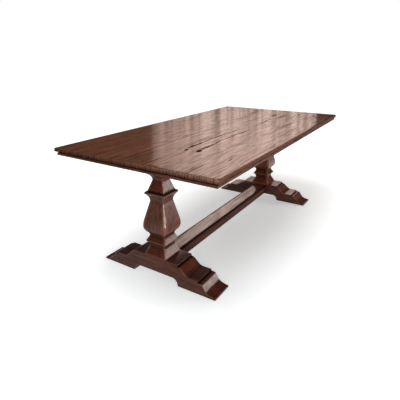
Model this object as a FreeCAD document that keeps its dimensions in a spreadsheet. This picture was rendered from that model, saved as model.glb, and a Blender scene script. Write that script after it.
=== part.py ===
import FreeCAD, Part
import math
import os
import Sketcher
from FreeCAD import Vector

# Trestle dining table: a plank top on two square baluster posts, which stand on moulded sled feet
# and are tied together by a low stretcher. Millimetres. X runs along the table, Y across it, Z up.
# The origin is on the floor, under the middle of the top. Left is -X, front is -Y.

SIZES = {
    "table_height": 760,
    # plank top
    "top_length": 2100,
    "top_width": 1100,
    "board_thickness": 22,
    "second_board_width": 269,
    "third_board_width": 197,
    "fourth_board_width": 190,
    "top_arris_radius": 6,
    "tongue_width": 20,
    "tongue_thickness": 6,
    "tongue_end_stop": 60,
    # edge moulding
    "moulding_inset": 11,
    "moulding_width": 45,
    "moulding_height": 24,
    "moulding_cove": 9,
    "moulding_bevel": 3,
    "mitre_key_length": 20,
    "mitre_key_width": 26,
    "mitre_key_thickness": 4,
    # trestles
    "end_overhang": 296,
    # post, from the foot upwards: half widths and the rise of each stretch but the vase, which takes the rest
    "post_base_half": 73,
    "post_waist_half": 51,
    "post_lower_ring_half": 67,
    "post_lower_neck_half": 51,
    "post_bulge_half": 77.5,
    "post_shoulder_half": 72,
    "post_vase_neck_half": 47.5,
    "post_upper_ring_half": 69.5,
    "post_taper_half": 54,
    "post_top_neck_half": 36,
    "post_cap_cove_half": 66,
    "post_cap_half": 73,
    "post_base_rise": 6,
    "post_base_round_rise": 24,
    "post_base_hollow_rise": 23,
    "post_waist_rise": 28,
    "post_lower_ring_rise": 6,
    "post_lower_neck_rise": 29,
    "post_bulge_hollow_rise": 20,
    "post_bulge_round_rise": 40,
    "post_shoulder_rise": 42,
    "post_vase_neck_rise": 49,
    "post_upper_ring_rise": 5,
    "post_ring_cove_rise": 17,
    "post_taper_rise": 54,
    "post_cap_cove_rise": 42,
    "post_cap_fillet_rise": 4,
    "post_cap_rise": 49,
    "post_planing_allowance": 3,
    "post_tenon_side": 60,
    "foot_tenon_length": 35,
    "bearer_tenon_length": 30,
    # foot, from the middle of its top out to the toe
    "foot_width": 150,
    "foot_top_half": 158,
    "foot_top_step": 12,
    "foot_top_quirk": 4,
    "foot_upper_round_run": 32,
    "foot_upper_hollow_run": 47,
    "foot_upper_drop": 42,
    "foot_ledge_run": 53,
    "foot_ledge_step": 10,
    "foot_ledge_quirk": 8,
    "foot_toe_round_run": 31,
    "foot_toe_hollow_run": 59,
    "foot_toe_drop": 55,
    "foot_tip_run": 14,
    "foot_tip_height": 9,
    "foot_arch_half": 160,
    "foot_arch_spring": 3,
    "foot_arch_radius": 37,
    "pad_thickness": 3,
    "pad_inset": 5,
    # stretcher
    "stretcher_width": 128,
    "stretcher_thickness": 53,
    "stretcher_drop": 13,
    "stretcher_quirk": 3,
    "stretcher_bevel_width": 15,
    "stretcher_bevel_drop": 6,
    "stretcher_tenon_width": 90,
    "stretcher_tenon_thickness": 28,
    "stretcher_tenon_length": 34,
    # bearers and batten under the boards
    "bearer_width": 120,
    "bearer_height": 62,
    "bearer_tip_height": 32,
    "bearer_taper_run": 150,
    "batten_width": 70,
    "batten_height": 35,
    "batten_tip_height": 20,
    "batten_taper_run": 40,
    "rail_end_gap": 23,
    "rail_screw_inset": 30,
    # tie rods
    "rod_diameter": 12,
    "rod_bore": 14,
    "rod_seat_diameter": 40,
    "rod_foot_seat_depth": 20,
    "rod_bearer_seat_depth": 22,
    "rod_plate_side": 27,
    "rod_plate_thickness": 3,
    "rod_nut_flats": 19,
    "rod_nut_height": 10,
    "rod_end": 3,
    # coach screws up through the feet into the stretcher's tenons
    "coach_screw_diameter": 8,
    "coach_screw_bore": 9,
    "coach_screw_setback": 18,
    "coach_screw_seat_diameter": 20,
    "coach_screw_seat_depth": 10,
    "coach_screw_head_diameter": 17,
    "coach_screw_head_height": 4,
    "coach_screw_bite": 16,
    # screws up through the rails into the boards
    "frame_screw_diameter": 6,
    "frame_screw_bore": 6.6,
    "frame_screw_head_diameter": 11,
    "frame_screw_head_height": 4,
    "frame_screw_seat_diameter": 14,
    "frame_screw_web": 20,
    "frame_screw_bite": 14,
    # clearances
    "joint_fit": 0.2,
    "thread_fit": 0.1,
    "mortise_gap": 1,
}

doc = FreeCAD.newDocument("trestle_table")
sheet = doc.addObject("Spreadsheet::Sheet", "Sizes")
for row, (alias, number) in enumerate(SIZES.items(), start=1):
    sheet.set(f"A{row}", alias)
    sheet.set(f"B{row}", str(number))
    sheet.setAlias(f"B{row}", alias)
doc.recompute()


class Length:
    """A number together with the sheet formula that it comes from."""

    def __init__(self, value, formula):
        self.value = value
        self.formula = formula

    def __add__(self, other):
        return Length(self.value + other.value, f"({self.formula} + {other.formula})")

    def __sub__(self, other):
        return Length(self.value - other.value, f"({self.formula} - {other.formula})")

    def __neg__(self):
        return Length(-self.value, f"(-{self.formula})")

    def __mul__(self, factor):
        return Length(self.value * factor, f"({self.formula} * {factor})")

    def __truediv__(self, divisor):
        return Length(self.value / divisor, f"({self.formula} / {divisor})")

    def share(self, part, whole):
        """This length times the ratio of two others."""
        ratio = part.value / whole.value
        return Length(self.value * ratio, f"({self.formula} * {part.formula} / {whole.formula})")


class Sheet:
    """Reads a named size from the sheet as a Length."""

    def __getattr__(self, alias):
        return Length(float(sheet.get(alias)), f"Sizes.{alias}")


size = Sheet()
ZERO = Length(0.0, "0")
nodes = []


def total(lengths):
    result = ZERO
    for item in lengths:
        result = result + item
    return result


# Sketches and features


def new_body(label):
    body = doc.addObject("PartDesign::Body", label)
    body.Label = label
    return body


def origin_feature(body, role):
    return next(item for item in body.Origin.OriginFeatures if item.Role == role)


def new_sketch(body, name, role, offset=ZERO):
    """A sketch on one of the body's own planes, moved along the plane's normal by offset."""
    sketch = body.newObject("Sketcher::SketchObject", name)
    sketch.AttachmentSupport = [(origin_feature(body, role), "")]
    sketch.MapMode = "FlatFace"
    sketch.setExpression("AttachmentOffset.Base.z", offset.formula)
    return sketch


def bind(sketch, kind, where, amount):
    index = sketch.addConstraint(Sketcher.Constraint(kind, *where, amount.value))
    sketch.setExpression(f"Constraints[{index}]", amount.formula)


def fix_point(sketch, shape, end, x, y):
    """Dimension a point from the sketch's axes, or lay it on the axis where its distance is nil."""
    horizontal_axis, vertical_axis = -1, -2
    if x is ZERO:
        sketch.addConstraint(Sketcher.Constraint("PointOnObject", shape, end, vertical_axis))
    else:
        bind(sketch, "DistanceX", (-1, 1, shape, end), x)
    if y is ZERO:
        sketch.addConstraint(Sketcher.Constraint("PointOnObject", shape, end, horizontal_axis))
    else:
        bind(sketch, "DistanceY", (-1, 1, shape, end), y)


def arc_centre(start, finish, bend):
    """Centre of an arc that lies level (same y) or plumb (same x) with one of the arc's ends."""
    across = finish.x - start.x
    rise = finish.y - start.y
    chord_squared = across * across + rise * rise
    if bend == "level_start":
        return Vector(start.x + chord_squared / (2 * across), start.y, 0)
    if bend == "level_end":
        return Vector(finish.x - chord_squared / (2 * across), finish.y, 0)
    if bend == "plumb_start":
        return Vector(start.x, start.y + chord_squared / (2 * rise), 0)
    return Vector(finish.x, finish.y - chord_squared / (2 * rise), 0)


def add_arc(sketch, start, finish, bend):
    """An arc under a half turn. Returns its index and which of its ends is the start and finish."""
    centre = arc_centre(start, finish, bend)
    turns_left = (start - centre).cross(finish - centre).z > 0
    first, last = (start, finish) if turns_left else (finish, start)
    from_angle = math.atan2(first.y - centre.y, first.x - centre.x)
    to_angle = math.atan2(last.y - centre.y, last.x - centre.x)
    if to_angle < from_angle:
        to_angle += 2 * math.pi
    circle = Part.Circle(centre, Vector(0, 0, 1), (start - centre).Length)
    shape = sketch.addGeometry(Part.ArcOfCircle(circle, from_angle, to_angle))
    start_end, finish_end = (1, 2) if turns_left else (2, 1)
    aligned_end = start_end if bend.endswith("start") else finish_end
    kind = "Horizontal" if bend.startswith("level") else "Vertical"
    sketch.addConstraint(Sketcher.Constraint(kind, shape, 3, shape, aligned_end))
    return shape, start_end, finish_end


def draw(sketch, corners):
    """A closed outline. A corner is x, y and, where an arc leads to it, how that arc is set."""
    points = [Vector(corner[0].value, corner[1].value, 0) for corner in corners]
    sides = []
    for index, corner in enumerate(corners):
        start, finish = points[index - 1], points[index]
        if len(corner) == 3:
            sides.append(add_arc(sketch, start, finish, corner[2]))
        else:
            sides.append((sketch.addGeometry(Part.LineSegment(start, finish)), 1, 2))
    for index, (shape, start_end, finish_end) in enumerate(sides):
        before, _, before_finish = sides[index - 1]
        sketch.addConstraint(Sketcher.Constraint("Coincident", before, before_finish, shape, start_end))
        fix_point(sketch, shape, finish_end, corners[index][0], corners[index][1])


def draw_circle(sketch, x, y, diameter):
    radius = diameter / 2
    shape = sketch.addGeometry(Part.Circle(Vector(x.value, y.value, 0), Vector(0, 0, 1), radius.value))
    fix_point(sketch, shape, 3, x, y)
    bind(sketch, "Radius", (shape,), radius)


def rectangle(low_x, high_x, low_y, high_y):
    return [(low_x, low_y), (high_x, low_y), (high_x, high_y), (low_x, high_y)]


def centred(width, height, mid_y=ZERO):
    """Corners of a rectangle about x = 0 and y = mid_y."""
    low_y = mid_y - height / 2
    high_y = mid_y + height / 2
    return rectangle(-(width / 2), width / 2, low_y, high_y)


def pad(body, name, sketch, depth, both_sides=False, backwards=False):
    feature = body.newObject("PartDesign::Pad", name)
    feature.Profile = sketch
    feature.SideType = "Symmetric" if both_sides else "One side"
    feature.Reversed = backwards
    feature.setExpression("Length", depth.formula)
    doc.recompute()
    return feature


def pocket(body, name, sketch, depth=None, along_normal=False):
    """Cut against the sketch's normal, or along it, to a depth, or right through on both sides."""
    volume_before = body.Shape.Volume
    feature = body.newObject("PartDesign::Pocket", name)
    feature.Profile = sketch
    feature.Reversed = along_normal
    if depth is None:
        feature.Type = "ThroughAll"
        feature.SideType = "Symmetric"
    else:
        feature.setExpression("Length", depth.formula)
    doc.recompute()
    if body.Shape.Volume >= volume_before:
        raise RuntimeError(f"{body.Label}: {name} cuts nothing")
    return feature


def drill(body, name, role, places, diameter, depth=None, offset=ZERO, along_normal=False):
    sketch = new_sketch(body, f"{name}_sketch", role, offset)
    for x, y in places:
        draw_circle(sketch, x, y, diameter)
    return pocket(body, name, sketch, depth, along_normal)


def turned(label, corners):
    """A round piece from the half outline of its section, turned about its own Z axis."""
    body = new_body(label)
    sketch = new_sketch(body, "section", "XZ_Plane")
    draw(sketch, corners)
    feature = body.newObject("PartDesign::Revolution", "turning")
    feature.Profile = sketch
    feature.ReferenceAxis = (sketch, ["V_Axis"])
    feature.Angle = 360
    return body


def place(body, x=ZERO, y=ZERO, z=ZERO, turn=0):
    body.Placement = FreeCAD.Placement(Vector(), FreeCAD.Rotation(Vector(0, 0, 1), turn))
    for axis, amount in zip("xyz", (x, y, z)):
        body.setExpression(f"Placement.Base.{axis}", amount.formula)
    return body


def add_node(body):
    nodes.append(body)
    return body


def add_group(label, bodies):
    """Identical fasteners, kept as separate solids under one name."""
    group = doc.addObject("Part::Compound", label)
    group.Label = label
    group.Links = bodies
    nodes.append(group)


# Levels and places that several pieces share

trestle_x = size.top_length / 2 - size.end_overhang
foot_drops = [size.foot_top_step, size.foot_upper_drop, size.foot_ledge_step, size.foot_toe_drop]
foot_height = total(foot_drops) + size.foot_tip_height
foot_runs = [
    size.foot_top_half, size.foot_top_quirk, size.foot_upper_round_run, size.foot_upper_hollow_run,
    size.foot_ledge_run, size.foot_ledge_quirk, size.foot_toe_round_run, size.foot_toe_hollow_run,
    size.foot_tip_run,
]
foot_half = total(foot_runs)
arch_height = size.foot_arch_spring + size.foot_arch_radius
foot_bottom_z = size.pad_thickness
post_bottom_z = foot_bottom_z + foot_height
boards_bottom_z = size.table_height - size.board_thickness
bearer_bottom_z = boards_bottom_z - size.bearer_height
post_height = bearer_bottom_z - post_bottom_z
rises_below_vase = [
    size.post_base_rise, size.post_base_round_rise, size.post_base_hollow_rise, size.post_waist_rise,
    size.post_lower_ring_rise, size.post_lower_neck_rise, size.post_bulge_hollow_rise,
    size.post_bulge_round_rise, size.post_shoulder_rise,
]
rises_above_vase = [
    size.post_vase_neck_rise, size.post_upper_ring_rise, size.post_ring_cove_rise, size.post_taper_rise,
    size.post_cap_cove_rise, size.post_cap_fillet_rise, size.post_cap_rise,
]
vase_rise = post_height - total(rises_below_vase + rises_above_vase)
post_rises = rises_below_vase + [vase_rise] + rises_above_vase
stretcher_top_z = post_bottom_z - size.stretcher_drop
stretcher_mid_z = stretcher_top_z - size.stretcher_thickness / 2
stretcher_length = trestle_x * 2 - size.foot_width
coach_screw_x = trestle_x - size.foot_width / 2 + size.coach_screw_setback
coach_screw_places = [(-coach_screw_x, ZERO), (coach_screw_x, ZERO)]
rail_half = (size.top_width / 2 - size.moulding_inset - size.moulding_width) - size.rail_end_gap

# Boards from the back edge to the front edge: the two outer ones share what the others leave.
inner_widths = [size.second_board_width, size.third_board_width, size.fourth_board_width]
outer_width = (size.top_width - total(inner_widths)) / 2
board_widths = [outer_width] + inner_widths + [outer_width]
board_front_edges = []
edge_y = size.top_width / 2
for width in board_widths:
    edge_y = edge_y - width
    board_front_edges.append(edge_y)
rail_places = [-trestle_x, ZERO, trestle_x]
screw_y = rail_half - size.rail_screw_inset
screw_rows = [screw_y, -screw_y]


def top_board(index):
    """A plank with rounded upper arrises, stopped tongue grooves and, in the outer two, screw holes."""
    body = new_body(f"top_board_{index + 1}")
    width = board_widths[index]
    front_edge = board_front_edges[index]
    is_back = index == 0
    is_front = index == len(board_widths) - 1
    half_length = size.top_length / 2
    sketch = new_sketch(body, "plan", "XY_Plane")
    draw(sketch, rectangle(-half_length, half_length, ZERO, width))
    plank = pad(body, "plank", sketch, size.board_thickness)

    rim = []
    for number, edge in enumerate(plank.Shape.Edges, start=1):
        middle = edge.CenterOfMass
        on_top = abs(middle.z - size.board_thickness.value) < 0.01
        on_end = abs(abs(middle.x) - half_length.value) < 0.01
        on_front = is_front and abs(middle.y) < 0.01
        on_back = is_back and abs(middle.y - width.value) < 0.01
        if on_top and (on_end or on_front or on_back):
            rim.append(f"Edge{number}")
    arris = body.newObject("PartDesign::Fillet", "top_arris")
    arris.Base = (plank, rim)
    arris.setExpression("Radius", size.top_arris_radius.formula)
    doc.recompute()

    groove_depth = size.tongue_width / 2 + size.mortise_gap
    groove = centred(
        size.top_length - size.tongue_end_stop * 2,
        size.tongue_thickness + size.joint_fit * 2,
        size.board_thickness / 2,
    )
    if not is_front:
        sketch = new_sketch(body, "front_groove_section", "XZ_Plane")
        draw(sketch, groove)
        pocket(body, "front_groove", sketch, groove_depth)
    if not is_back:
        sketch = new_sketch(body, "back_groove_section", "XZ_Plane", -width)
        draw(sketch, groove)
        pocket(body, "back_groove", sketch, groove_depth, along_normal=True)

    if is_front or is_back:
        screw_row = screw_rows[0] if is_back else screw_rows[1]
        places = [(x, screw_row - front_edge) for x in rail_places]
        hole = size.frame_screw_diameter + size.thread_fit * 2
        depth = size.frame_screw_bite + size.mortise_gap
        drill(body, "frame_screw_holes", "XY_Plane", places, hole, depth, along_normal=True)
    return add_node(place(body, y=front_edge, z=boards_bottom_z))


def board_tongue(index):
    """The loose tongue between one board and the next one to the front."""
    body = new_body(f"board_tongue_{index + 1}")
    sketch = new_sketch(body, "plan", "XY_Plane")
    draw(sketch, centred(size.top_length - (size.tongue_end_stop + size.joint_fit) * 2, size.tongue_width))
    pad(body, "strip", sketch, size.tongue_thickness)
    tongue_z = boards_bottom_z + (size.board_thickness - size.tongue_thickness) / 2
    return add_node(place(body, y=board_front_edges[index], z=tongue_z))


def mitre_key_corners(corner_x, corner_y, towards_x, fit):
    """A rectangle turned 45 degrees, astride the mitre that runs inwards from an outer corner."""
    mid_x = corner_x + size.moulding_width * (towards_x / 2)
    mid_y = corner_y + size.moulding_width / 2
    diagonal = math.sqrt(0.5)
    along = (size.mitre_key_length / 2 + fit) * diagonal
    across = (size.mitre_key_width / 2 + fit) * diagonal
    reach = along + across
    spread = across - along
    if towards_x > 0:
        spread = -spread
    return [
        (mid_x - reach, mid_y + spread),
        (mid_x + spread, mid_y - reach),
        (mid_x + reach, mid_y - spread),
        (mid_x - spread, mid_y + reach),
    ]


def edge_moulding(label, outer_length, x, y, turn):
    """A strip with a cove under the boards, mitred at both ends. Its outer face is at local y = 0."""
    body = new_body(label)
    half = outer_length / 2
    width = size.moulding_width
    height = size.moulding_height
    sketch = new_sketch(body, "section", "YZ_Plane")
    draw(sketch, [
        (ZERO, size.moulding_bevel),
        (size.moulding_bevel, ZERO),
        (width, ZERO),
        (width, height),
        (size.moulding_cove, height),
        (ZERO, height - size.moulding_cove, "level_start"),
    ])
    pad(body, "strip", sketch, outer_length, both_sides=True)
    sketch = new_sketch(body, "mitre_plan", "XY_Plane")
    draw(sketch, [(half, ZERO), (half, width), (half - width, width)])
    draw(sketch, [(-half, ZERO), (-half, width), (width - half, width)])
    pocket(body, "mitres", sketch)
    slot_z = (height - size.mitre_key_thickness) / 2 - size.joint_fit
    sketch = new_sketch(body, "key_slot_plan", "XY_Plane", slot_z)
    draw(sketch, mitre_key_corners(-half, ZERO, 1, size.joint_fit))
    draw(sketch, mitre_key_corners(half, ZERO, -1, size.joint_fit))
    slot_height = size.mitre_key_thickness + size.joint_fit * 2
    pocket(body, "key_slots", sketch, slot_height, along_normal=True)
    return add_node(place(body, x, y, boards_bottom_z - height, turn))


def mitre_key(label, x, y, towards_x, turn):
    body = new_body(label)
    sketch = new_sketch(body, "plan", "XY_Plane")
    draw(sketch, mitre_key_corners(ZERO, ZERO, towards_x, ZERO))
    pad(body, "plate", sketch, size.mitre_key_thickness)
    key_z = boards_bottom_z - (size.moulding_height + size.mitre_key_thickness) / 2
    return add_node(place(body, x, y, key_z, turn))


def cross_rail(label, width, height, tip_height, taper_run):
    """A rail across the underside of the boards, tapered upwards at its ends, with screw seats."""
    body = new_body(label)
    tip_z = height - tip_height
    sketch = new_sketch(body, "side", "YZ_Plane")
    draw(sketch, [
        (taper_run - rail_half, ZERO),
        (rail_half - taper_run, ZERO),
        (rail_half, tip_z),
        (rail_half, height),
        (-rail_half, height),
        (-rail_half, tip_z),
    ])
    pad(body, "rail", sketch, width, both_sides=True)
    places = [(ZERO, y) for y in screw_rows]
    seat_depth = height - size.frame_screw_web
    drill(body, "screw_seats", "XY_Plane", places, size.frame_screw_seat_diameter, seat_depth,
          along_normal=True)
    drill(body, "screw_holes", "XY_Plane", places, size.frame_screw_bore)
    return body


def bearer(label, x):
    body = cross_rail(label, size.bearer_width, size.bearer_height, size.bearer_tip_height,
                      size.bearer_taper_run)
    mortise_side = size.post_tenon_side + size.joint_fit * 2
    sketch = new_sketch(body, "mortise_plan", "XY_Plane")
    draw(sketch, centred(mortise_side, mortise_side))
    mortise_depth = size.bearer_tenon_length + size.mortise_gap
    pocket(body, "post_mortise", sketch, mortise_depth, along_normal=True)
    drill(body, "rod_bore", "XY_Plane", [(ZERO, ZERO)], size.rod_bore)
    drill(body, "rod_seat", "XY_Plane", [(ZERO, ZERO)], size.rod_seat_diameter,
          size.rod_bearer_seat_depth, offset=size.bearer_height)
    return add_node(place(body, x, z=bearer_bottom_z))


def batten(label):
    body = cross_rail(label, size.batten_width, size.batten_height, size.batten_tip_height,
                      size.batten_taper_run)
    return add_node(place(body, z=boards_bottom_z - size.batten_height))


def post_outline():
    """Half outline of the square baluster, from the foot up: half width, height and any arc."""
    base_rise = size.post_base_round_rise + size.post_base_hollow_rise
    base_turn = size.post_base_half - (size.post_base_half - size.post_waist_half).share(
        size.post_base_round_rise, base_rise)
    bulge_rise = size.post_bulge_hollow_rise + size.post_bulge_round_rise
    bulge_turn = size.post_lower_neck_half + (size.post_bulge_half - size.post_lower_neck_half).share(
        size.post_bulge_hollow_rise, bulge_rise)
    stretches = [
        (size.post_base_half, None),
        (base_turn, "level_start"),
        (size.post_waist_half, "level_end"),
        (size.post_lower_ring_half, "level_start"),
        (size.post_lower_ring_half, None),
        (size.post_lower_neck_half, "level_end"),
        (bulge_turn, "level_start"),
        (size.post_bulge_half, "level_end"),
        (size.post_shoulder_half, "level_start"),
        (size.post_vase_neck_half, None),
        (size.post_upper_ring_half, "level_start"),
        (size.post_upper_ring_half, None),
        (size.post_taper_half, "level_end"),
        (size.post_top_neck_half, None),
        (size.post_cap_cove_half, "level_start"),
        (size.post_cap_cove_half, None),
    ]
    corners = [(size.post_base_half, ZERO)]
    level = ZERO
    for rise, (half_width, bend) in zip(post_rises, stretches):
        level = level + rise
        corners.append((half_width, level, bend) if bend else (half_width, level))
    corners.append((size.post_cap_half, level))
    corners.append((size.post_cap_half, post_height))
    return corners


def post(label, x):
    """A square blank, moulded alike on its four sides, with stub tenons and a bore for the rod."""
    body = new_body(label)
    blank_half = size.post_bulge_half + size.post_planing_allowance
    sketch = new_sketch(body, "blank_plan", "XY_Plane")
    draw(sketch, centred(blank_half * 2, blank_half * 2))
    pad(body, "blank", sketch, post_height)
    cutter_edge = blank_half + size.post_planing_allowance
    sketch = new_sketch(body, "moulding_outline", "XZ_Plane")
    draw(sketch, post_outline() + [(cutter_edge, post_height), (cutter_edge, ZERO)])
    side = pocket(body, "moulded_side", sketch)
    sides = body.newObject("PartDesign::PolarPattern", "moulded_sides")
    sides.Originals = [side]
    sides.Axis = (origin_feature(body, "Z_Axis"), [""])
    sides.Angle = 360
    sides.Occurrences = 4
    body.Tip = sides
    doc.recompute()
    tenon = centred(size.post_tenon_side, size.post_tenon_side)
    sketch = new_sketch(body, "foot_tenon_plan", "XY_Plane")
    draw(sketch, tenon)
    pad(body, "foot_tenon", sketch, size.foot_tenon_length, backwards=True)
    sketch = new_sketch(body, "bearer_tenon_plan", "XY_Plane", post_height)
    draw(sketch, tenon)
    pad(body, "bearer_tenon", sketch, size.bearer_tenon_length)
    drill(body, "rod_bore", "XY_Plane", [(ZERO, ZERO)], size.rod_bore)
    return add_node(place(body, x, z=post_bottom_z))


def foot_outline():
    """Half outline of the foot's side: arched underside, toe, then up over its two mouldings."""
    toe_run = size.foot_toe_round_run + size.foot_toe_hollow_run
    upper_run = size.foot_upper_round_run + size.foot_upper_hollow_run
    ledge_y = total(foot_runs[:5])
    upper_y = size.foot_top_half + size.foot_top_quirk
    lower_y = ledge_y + size.foot_ledge_quirk
    lower_z = size.foot_tip_height + size.foot_toe_drop
    ledge_z = lower_z + size.foot_ledge_step
    upper_z = ledge_z + size.foot_upper_drop
    return [
        (ZERO, arch_height),
        (size.foot_arch_half - size.foot_arch_radius, arch_height),
        (size.foot_arch_half, size.foot_arch_spring, "plumb_start"),
        (size.foot_arch_half, ZERO),
        (foot_half, ZERO),
        (foot_half, size.foot_tip_height),
        (foot_half - size.foot_tip_run, size.foot_tip_height),
        (lower_y + size.foot_toe_round_run,
         lower_z - size.foot_toe_drop.share(size.foot_toe_round_run, toe_run), "plumb_start"),
        (lower_y, lower_z, "plumb_end"),
        (ledge_y, lower_z),
        (ledge_y, ledge_z),
        (ledge_y - size.foot_ledge_run, ledge_z),
        (upper_y + size.foot_upper_round_run,
         upper_z - size.foot_upper_drop.share(size.foot_upper_round_run, upper_run), "plumb_start"),
        (upper_y, upper_z, "plumb_end"),
        (size.foot_top_half, upper_z),
        (size.foot_top_half, foot_height),
        (ZERO, foot_height),
    ]


def foot(label, x, turn):
    """A sled foot across the table. Its local +X face is the inner one, which takes the stretcher."""
    body = new_body(label)
    sketch = new_sketch(body, "half_side", "YZ_Plane")
    draw(sketch, foot_outline())
    half = pad(body, "half_foot", sketch, size.foot_width, both_sides=True)
    whole = body.newObject("PartDesign::Mirrored", "whole_foot")
    whole.Originals = [half]
    whole.MirrorPlane = (origin_feature(body, "XZ_Plane"), [""])
    body.Tip = whole
    doc.recompute()

    mortise_side = size.post_tenon_side + size.joint_fit * 2
    sketch = new_sketch(body, "post_mortise_plan", "XY_Plane", foot_height)
    draw(sketch, centred(mortise_side, mortise_side))
    pocket(body, "post_mortise", sketch, size.foot_tenon_length + size.mortise_gap)
    drill(body, "rod_bore", "XY_Plane", [(ZERO, ZERO)], size.rod_bore)
    drill(body, "rod_seat", "XY_Plane", [(ZERO, ZERO)], size.rod_seat_diameter,
          arch_height + size.rod_foot_seat_depth, along_normal=True)

    inner_face = size.foot_width / 2
    mortise_mid_z = stretcher_mid_z - foot_bottom_z
    sketch = new_sketch(body, "stretcher_mortise_section", "YZ_Plane", inner_face)
    draw(sketch, centred(size.stretcher_tenon_width + size.joint_fit * 2,
                         size.stretcher_tenon_thickness + size.joint_fit * 2, mortise_mid_z))
    pocket(body, "stretcher_mortise", sketch, size.stretcher_tenon_length + size.mortise_gap)
    places = [(inner_face - size.coach_screw_setback, ZERO)]
    drill(body, "screw_bore", "XY_Plane", places, size.coach_screw_bore, mortise_mid_z, along_normal=True)
    drill(body, "screw_seat", "XY_Plane", places, size.coach_screw_seat_diameter,
          arch_height + size.coach_screw_seat_depth, along_normal=True)
    return add_node(place(body, x, z=foot_bottom_z, turn=turn))


def glide_pad(label, x, side):
    """A thin pad under one end of a foot, set in from the foot's edges."""
    body = new_body(label)
    inner_y = size.foot_arch_half + size.pad_inset
    outer_y = foot_half - size.pad_inset
    sketch = new_sketch(body, "plan", "XY_Plane")
    draw(sketch, centred(size.foot_width - size.pad_inset * 2, outer_y - inner_y))
    pad(body, "sheet", sketch, size.pad_thickness)
    return add_node(place(body, x, ((inner_y + outer_y) / 2) * side))


def stretcher(label):
    """A flat rail with quirked and bevelled upper edges and, at each end, a stub tenon with a screw hole."""
    body = new_body(label)
    half = size.stretcher_width / 2
    flat_half = half - size.stretcher_bevel_width
    edge_z = -(size.stretcher_quirk + size.stretcher_bevel_drop)
    sketch = new_sketch(body, "section", "YZ_Plane")
    draw(sketch, [
        (-half, -size.stretcher_thickness),
        (half, -size.stretcher_thickness),
        (half, edge_z),
        (flat_half, -size.stretcher_quirk),
        (flat_half, ZERO),
        (-flat_half, ZERO),
        (-flat_half, -size.stretcher_quirk),
        (-half, edge_z),
    ])
    pad(body, "rail", sketch, stretcher_length, both_sides=True)
    mid_z = -(size.stretcher_thickness / 2)
    sketch = new_sketch(body, "tenon_section", "YZ_Plane")
    draw(sketch, centred(size.stretcher_tenon_width, size.stretcher_tenon_thickness, mid_z))
    pad(body, "tenons", sketch, stretcher_length + size.stretcher_tenon_length * 2, both_sides=True)
    screw_hole = size.coach_screw_diameter + size.thread_fit * 2
    drill(body, "screw_holes", "XY_Plane", coach_screw_places, screw_hole,
          size.coach_screw_bite + size.mortise_gap,
          offset=mid_z - size.stretcher_tenon_thickness / 2, along_normal=True)
    return add_node(place(body, z=stretcher_top_z))


def headed_screw(label, shank, head, head_height, shank_length):
    """A headed fastener, head down, with the underside of its head's rim at local z = head_height."""
    return turned(label, [
        (head / 2, ZERO),
        (head / 2, head_height),
        (shank / 2, head_height),
        (shank / 2, head_height + shank_length),
        (ZERO, head_height + shank_length),
        (ZERO, ZERO),
    ])


def hexagon_nut(label):
    body = new_body(label)
    corner_radius = size.rod_nut_flats / math.sqrt(3)
    sketch = new_sketch(body, "plan", "XY_Plane")
    half_flats = size.rod_nut_flats / 2
    draw(sketch, [
        (corner_radius, ZERO),
        (corner_radius / 2, half_flats),
        (-(corner_radius / 2), half_flats),
        (-corner_radius, ZERO),
        (-(corner_radius / 2), -half_flats),
        (corner_radius / 2, -half_flats),
    ])
    draw_circle(sketch, ZERO, ZERO, size.rod_diameter + size.thread_fit * 2)
    pad(body, "nut", sketch, size.rod_nut_height)
    return body


def square_plate(label):
    body = new_body(label)
    sketch = new_sketch(body, "plan", "XY_Plane")
    draw(sketch, centred(size.rod_plate_side, size.rod_plate_side))
    draw_circle(sketch, ZERO, ZERO, size.rod_diameter + size.joint_fit * 2)
    pad(body, "plate", sketch, size.rod_plate_thickness)
    return body


def frame_screws():
    """The screws that hold the bearers and the batten to the two outer boards."""
    shank_length = size.frame_screw_web + size.frame_screw_bite
    screw_z = boards_bottom_z - size.frame_screw_web - size.frame_screw_head_height
    screws = []
    for x in rail_places:
        for y in screw_rows:
            screw = headed_screw("frame_screw", size.frame_screw_diameter, size.frame_screw_head_diameter,
                                 size.frame_screw_head_height, shank_length)
            screws.append(place(screw, x, y, screw_z))
    add_group("frame_screws", screws)


def tie_rods():
    """A rod through each trestle, with a plate and a nut in a seat under the foot and on the bearer."""
    foot_seat_z = foot_bottom_z + arch_height + size.rod_foot_seat_depth
    bearer_seat_z = boards_bottom_z - size.rod_bearer_seat_depth
    stack = size.rod_plate_thickness + size.rod_nut_height
    rod_bottom_z = foot_seat_z - stack - size.rod_end
    rod_top_z = bearer_seat_z + stack + size.rod_end
    plates = []
    nuts = []
    for side, x in (("left", -trestle_x), ("right", trestle_x)):
        rod = doc.addObject("Part::Cylinder", f"tie_rod_{side}")
        rod.Label = f"tie_rod_{side}"
        rod.setExpression("Radius", (size.rod_diameter / 2).formula)
        rod.setExpression("Height", (rod_top_z - rod_bottom_z).formula)
        add_node(place(rod, x, z=rod_bottom_z))
        for plate_z in (foot_seat_z - size.rod_plate_thickness, bearer_seat_z):
            plates.append(place(square_plate("rod_plate"), x, z=plate_z))
        for nut_z in (foot_seat_z - stack, bearer_seat_z + size.rod_plate_thickness):
            nuts.append(place(hexagon_nut("rod_nut"), x, z=nut_z))
    add_group("tie_rod_plates", plates)
    add_group("tie_rod_nuts", nuts)


def stretcher_screws():
    """A wide-headed coach screw up through each foot into the stretcher's tenon."""
    seat_z = foot_bottom_z + arch_height + size.coach_screw_seat_depth
    tenon_bottom_z = stretcher_mid_z - size.stretcher_tenon_thickness / 2
    shank_length = tenon_bottom_z + size.coach_screw_bite - seat_z
    screws = []
    for x, y in coach_screw_places:
        screw = headed_screw("coach_screw", size.coach_screw_diameter, size.coach_screw_head_diameter,
                             size.coach_screw_head_height, shank_length)
        screws.append(place(screw, x, y, seat_z - size.coach_screw_head_height))
    add_group("stretcher_screws", screws)


# The assembly

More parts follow.
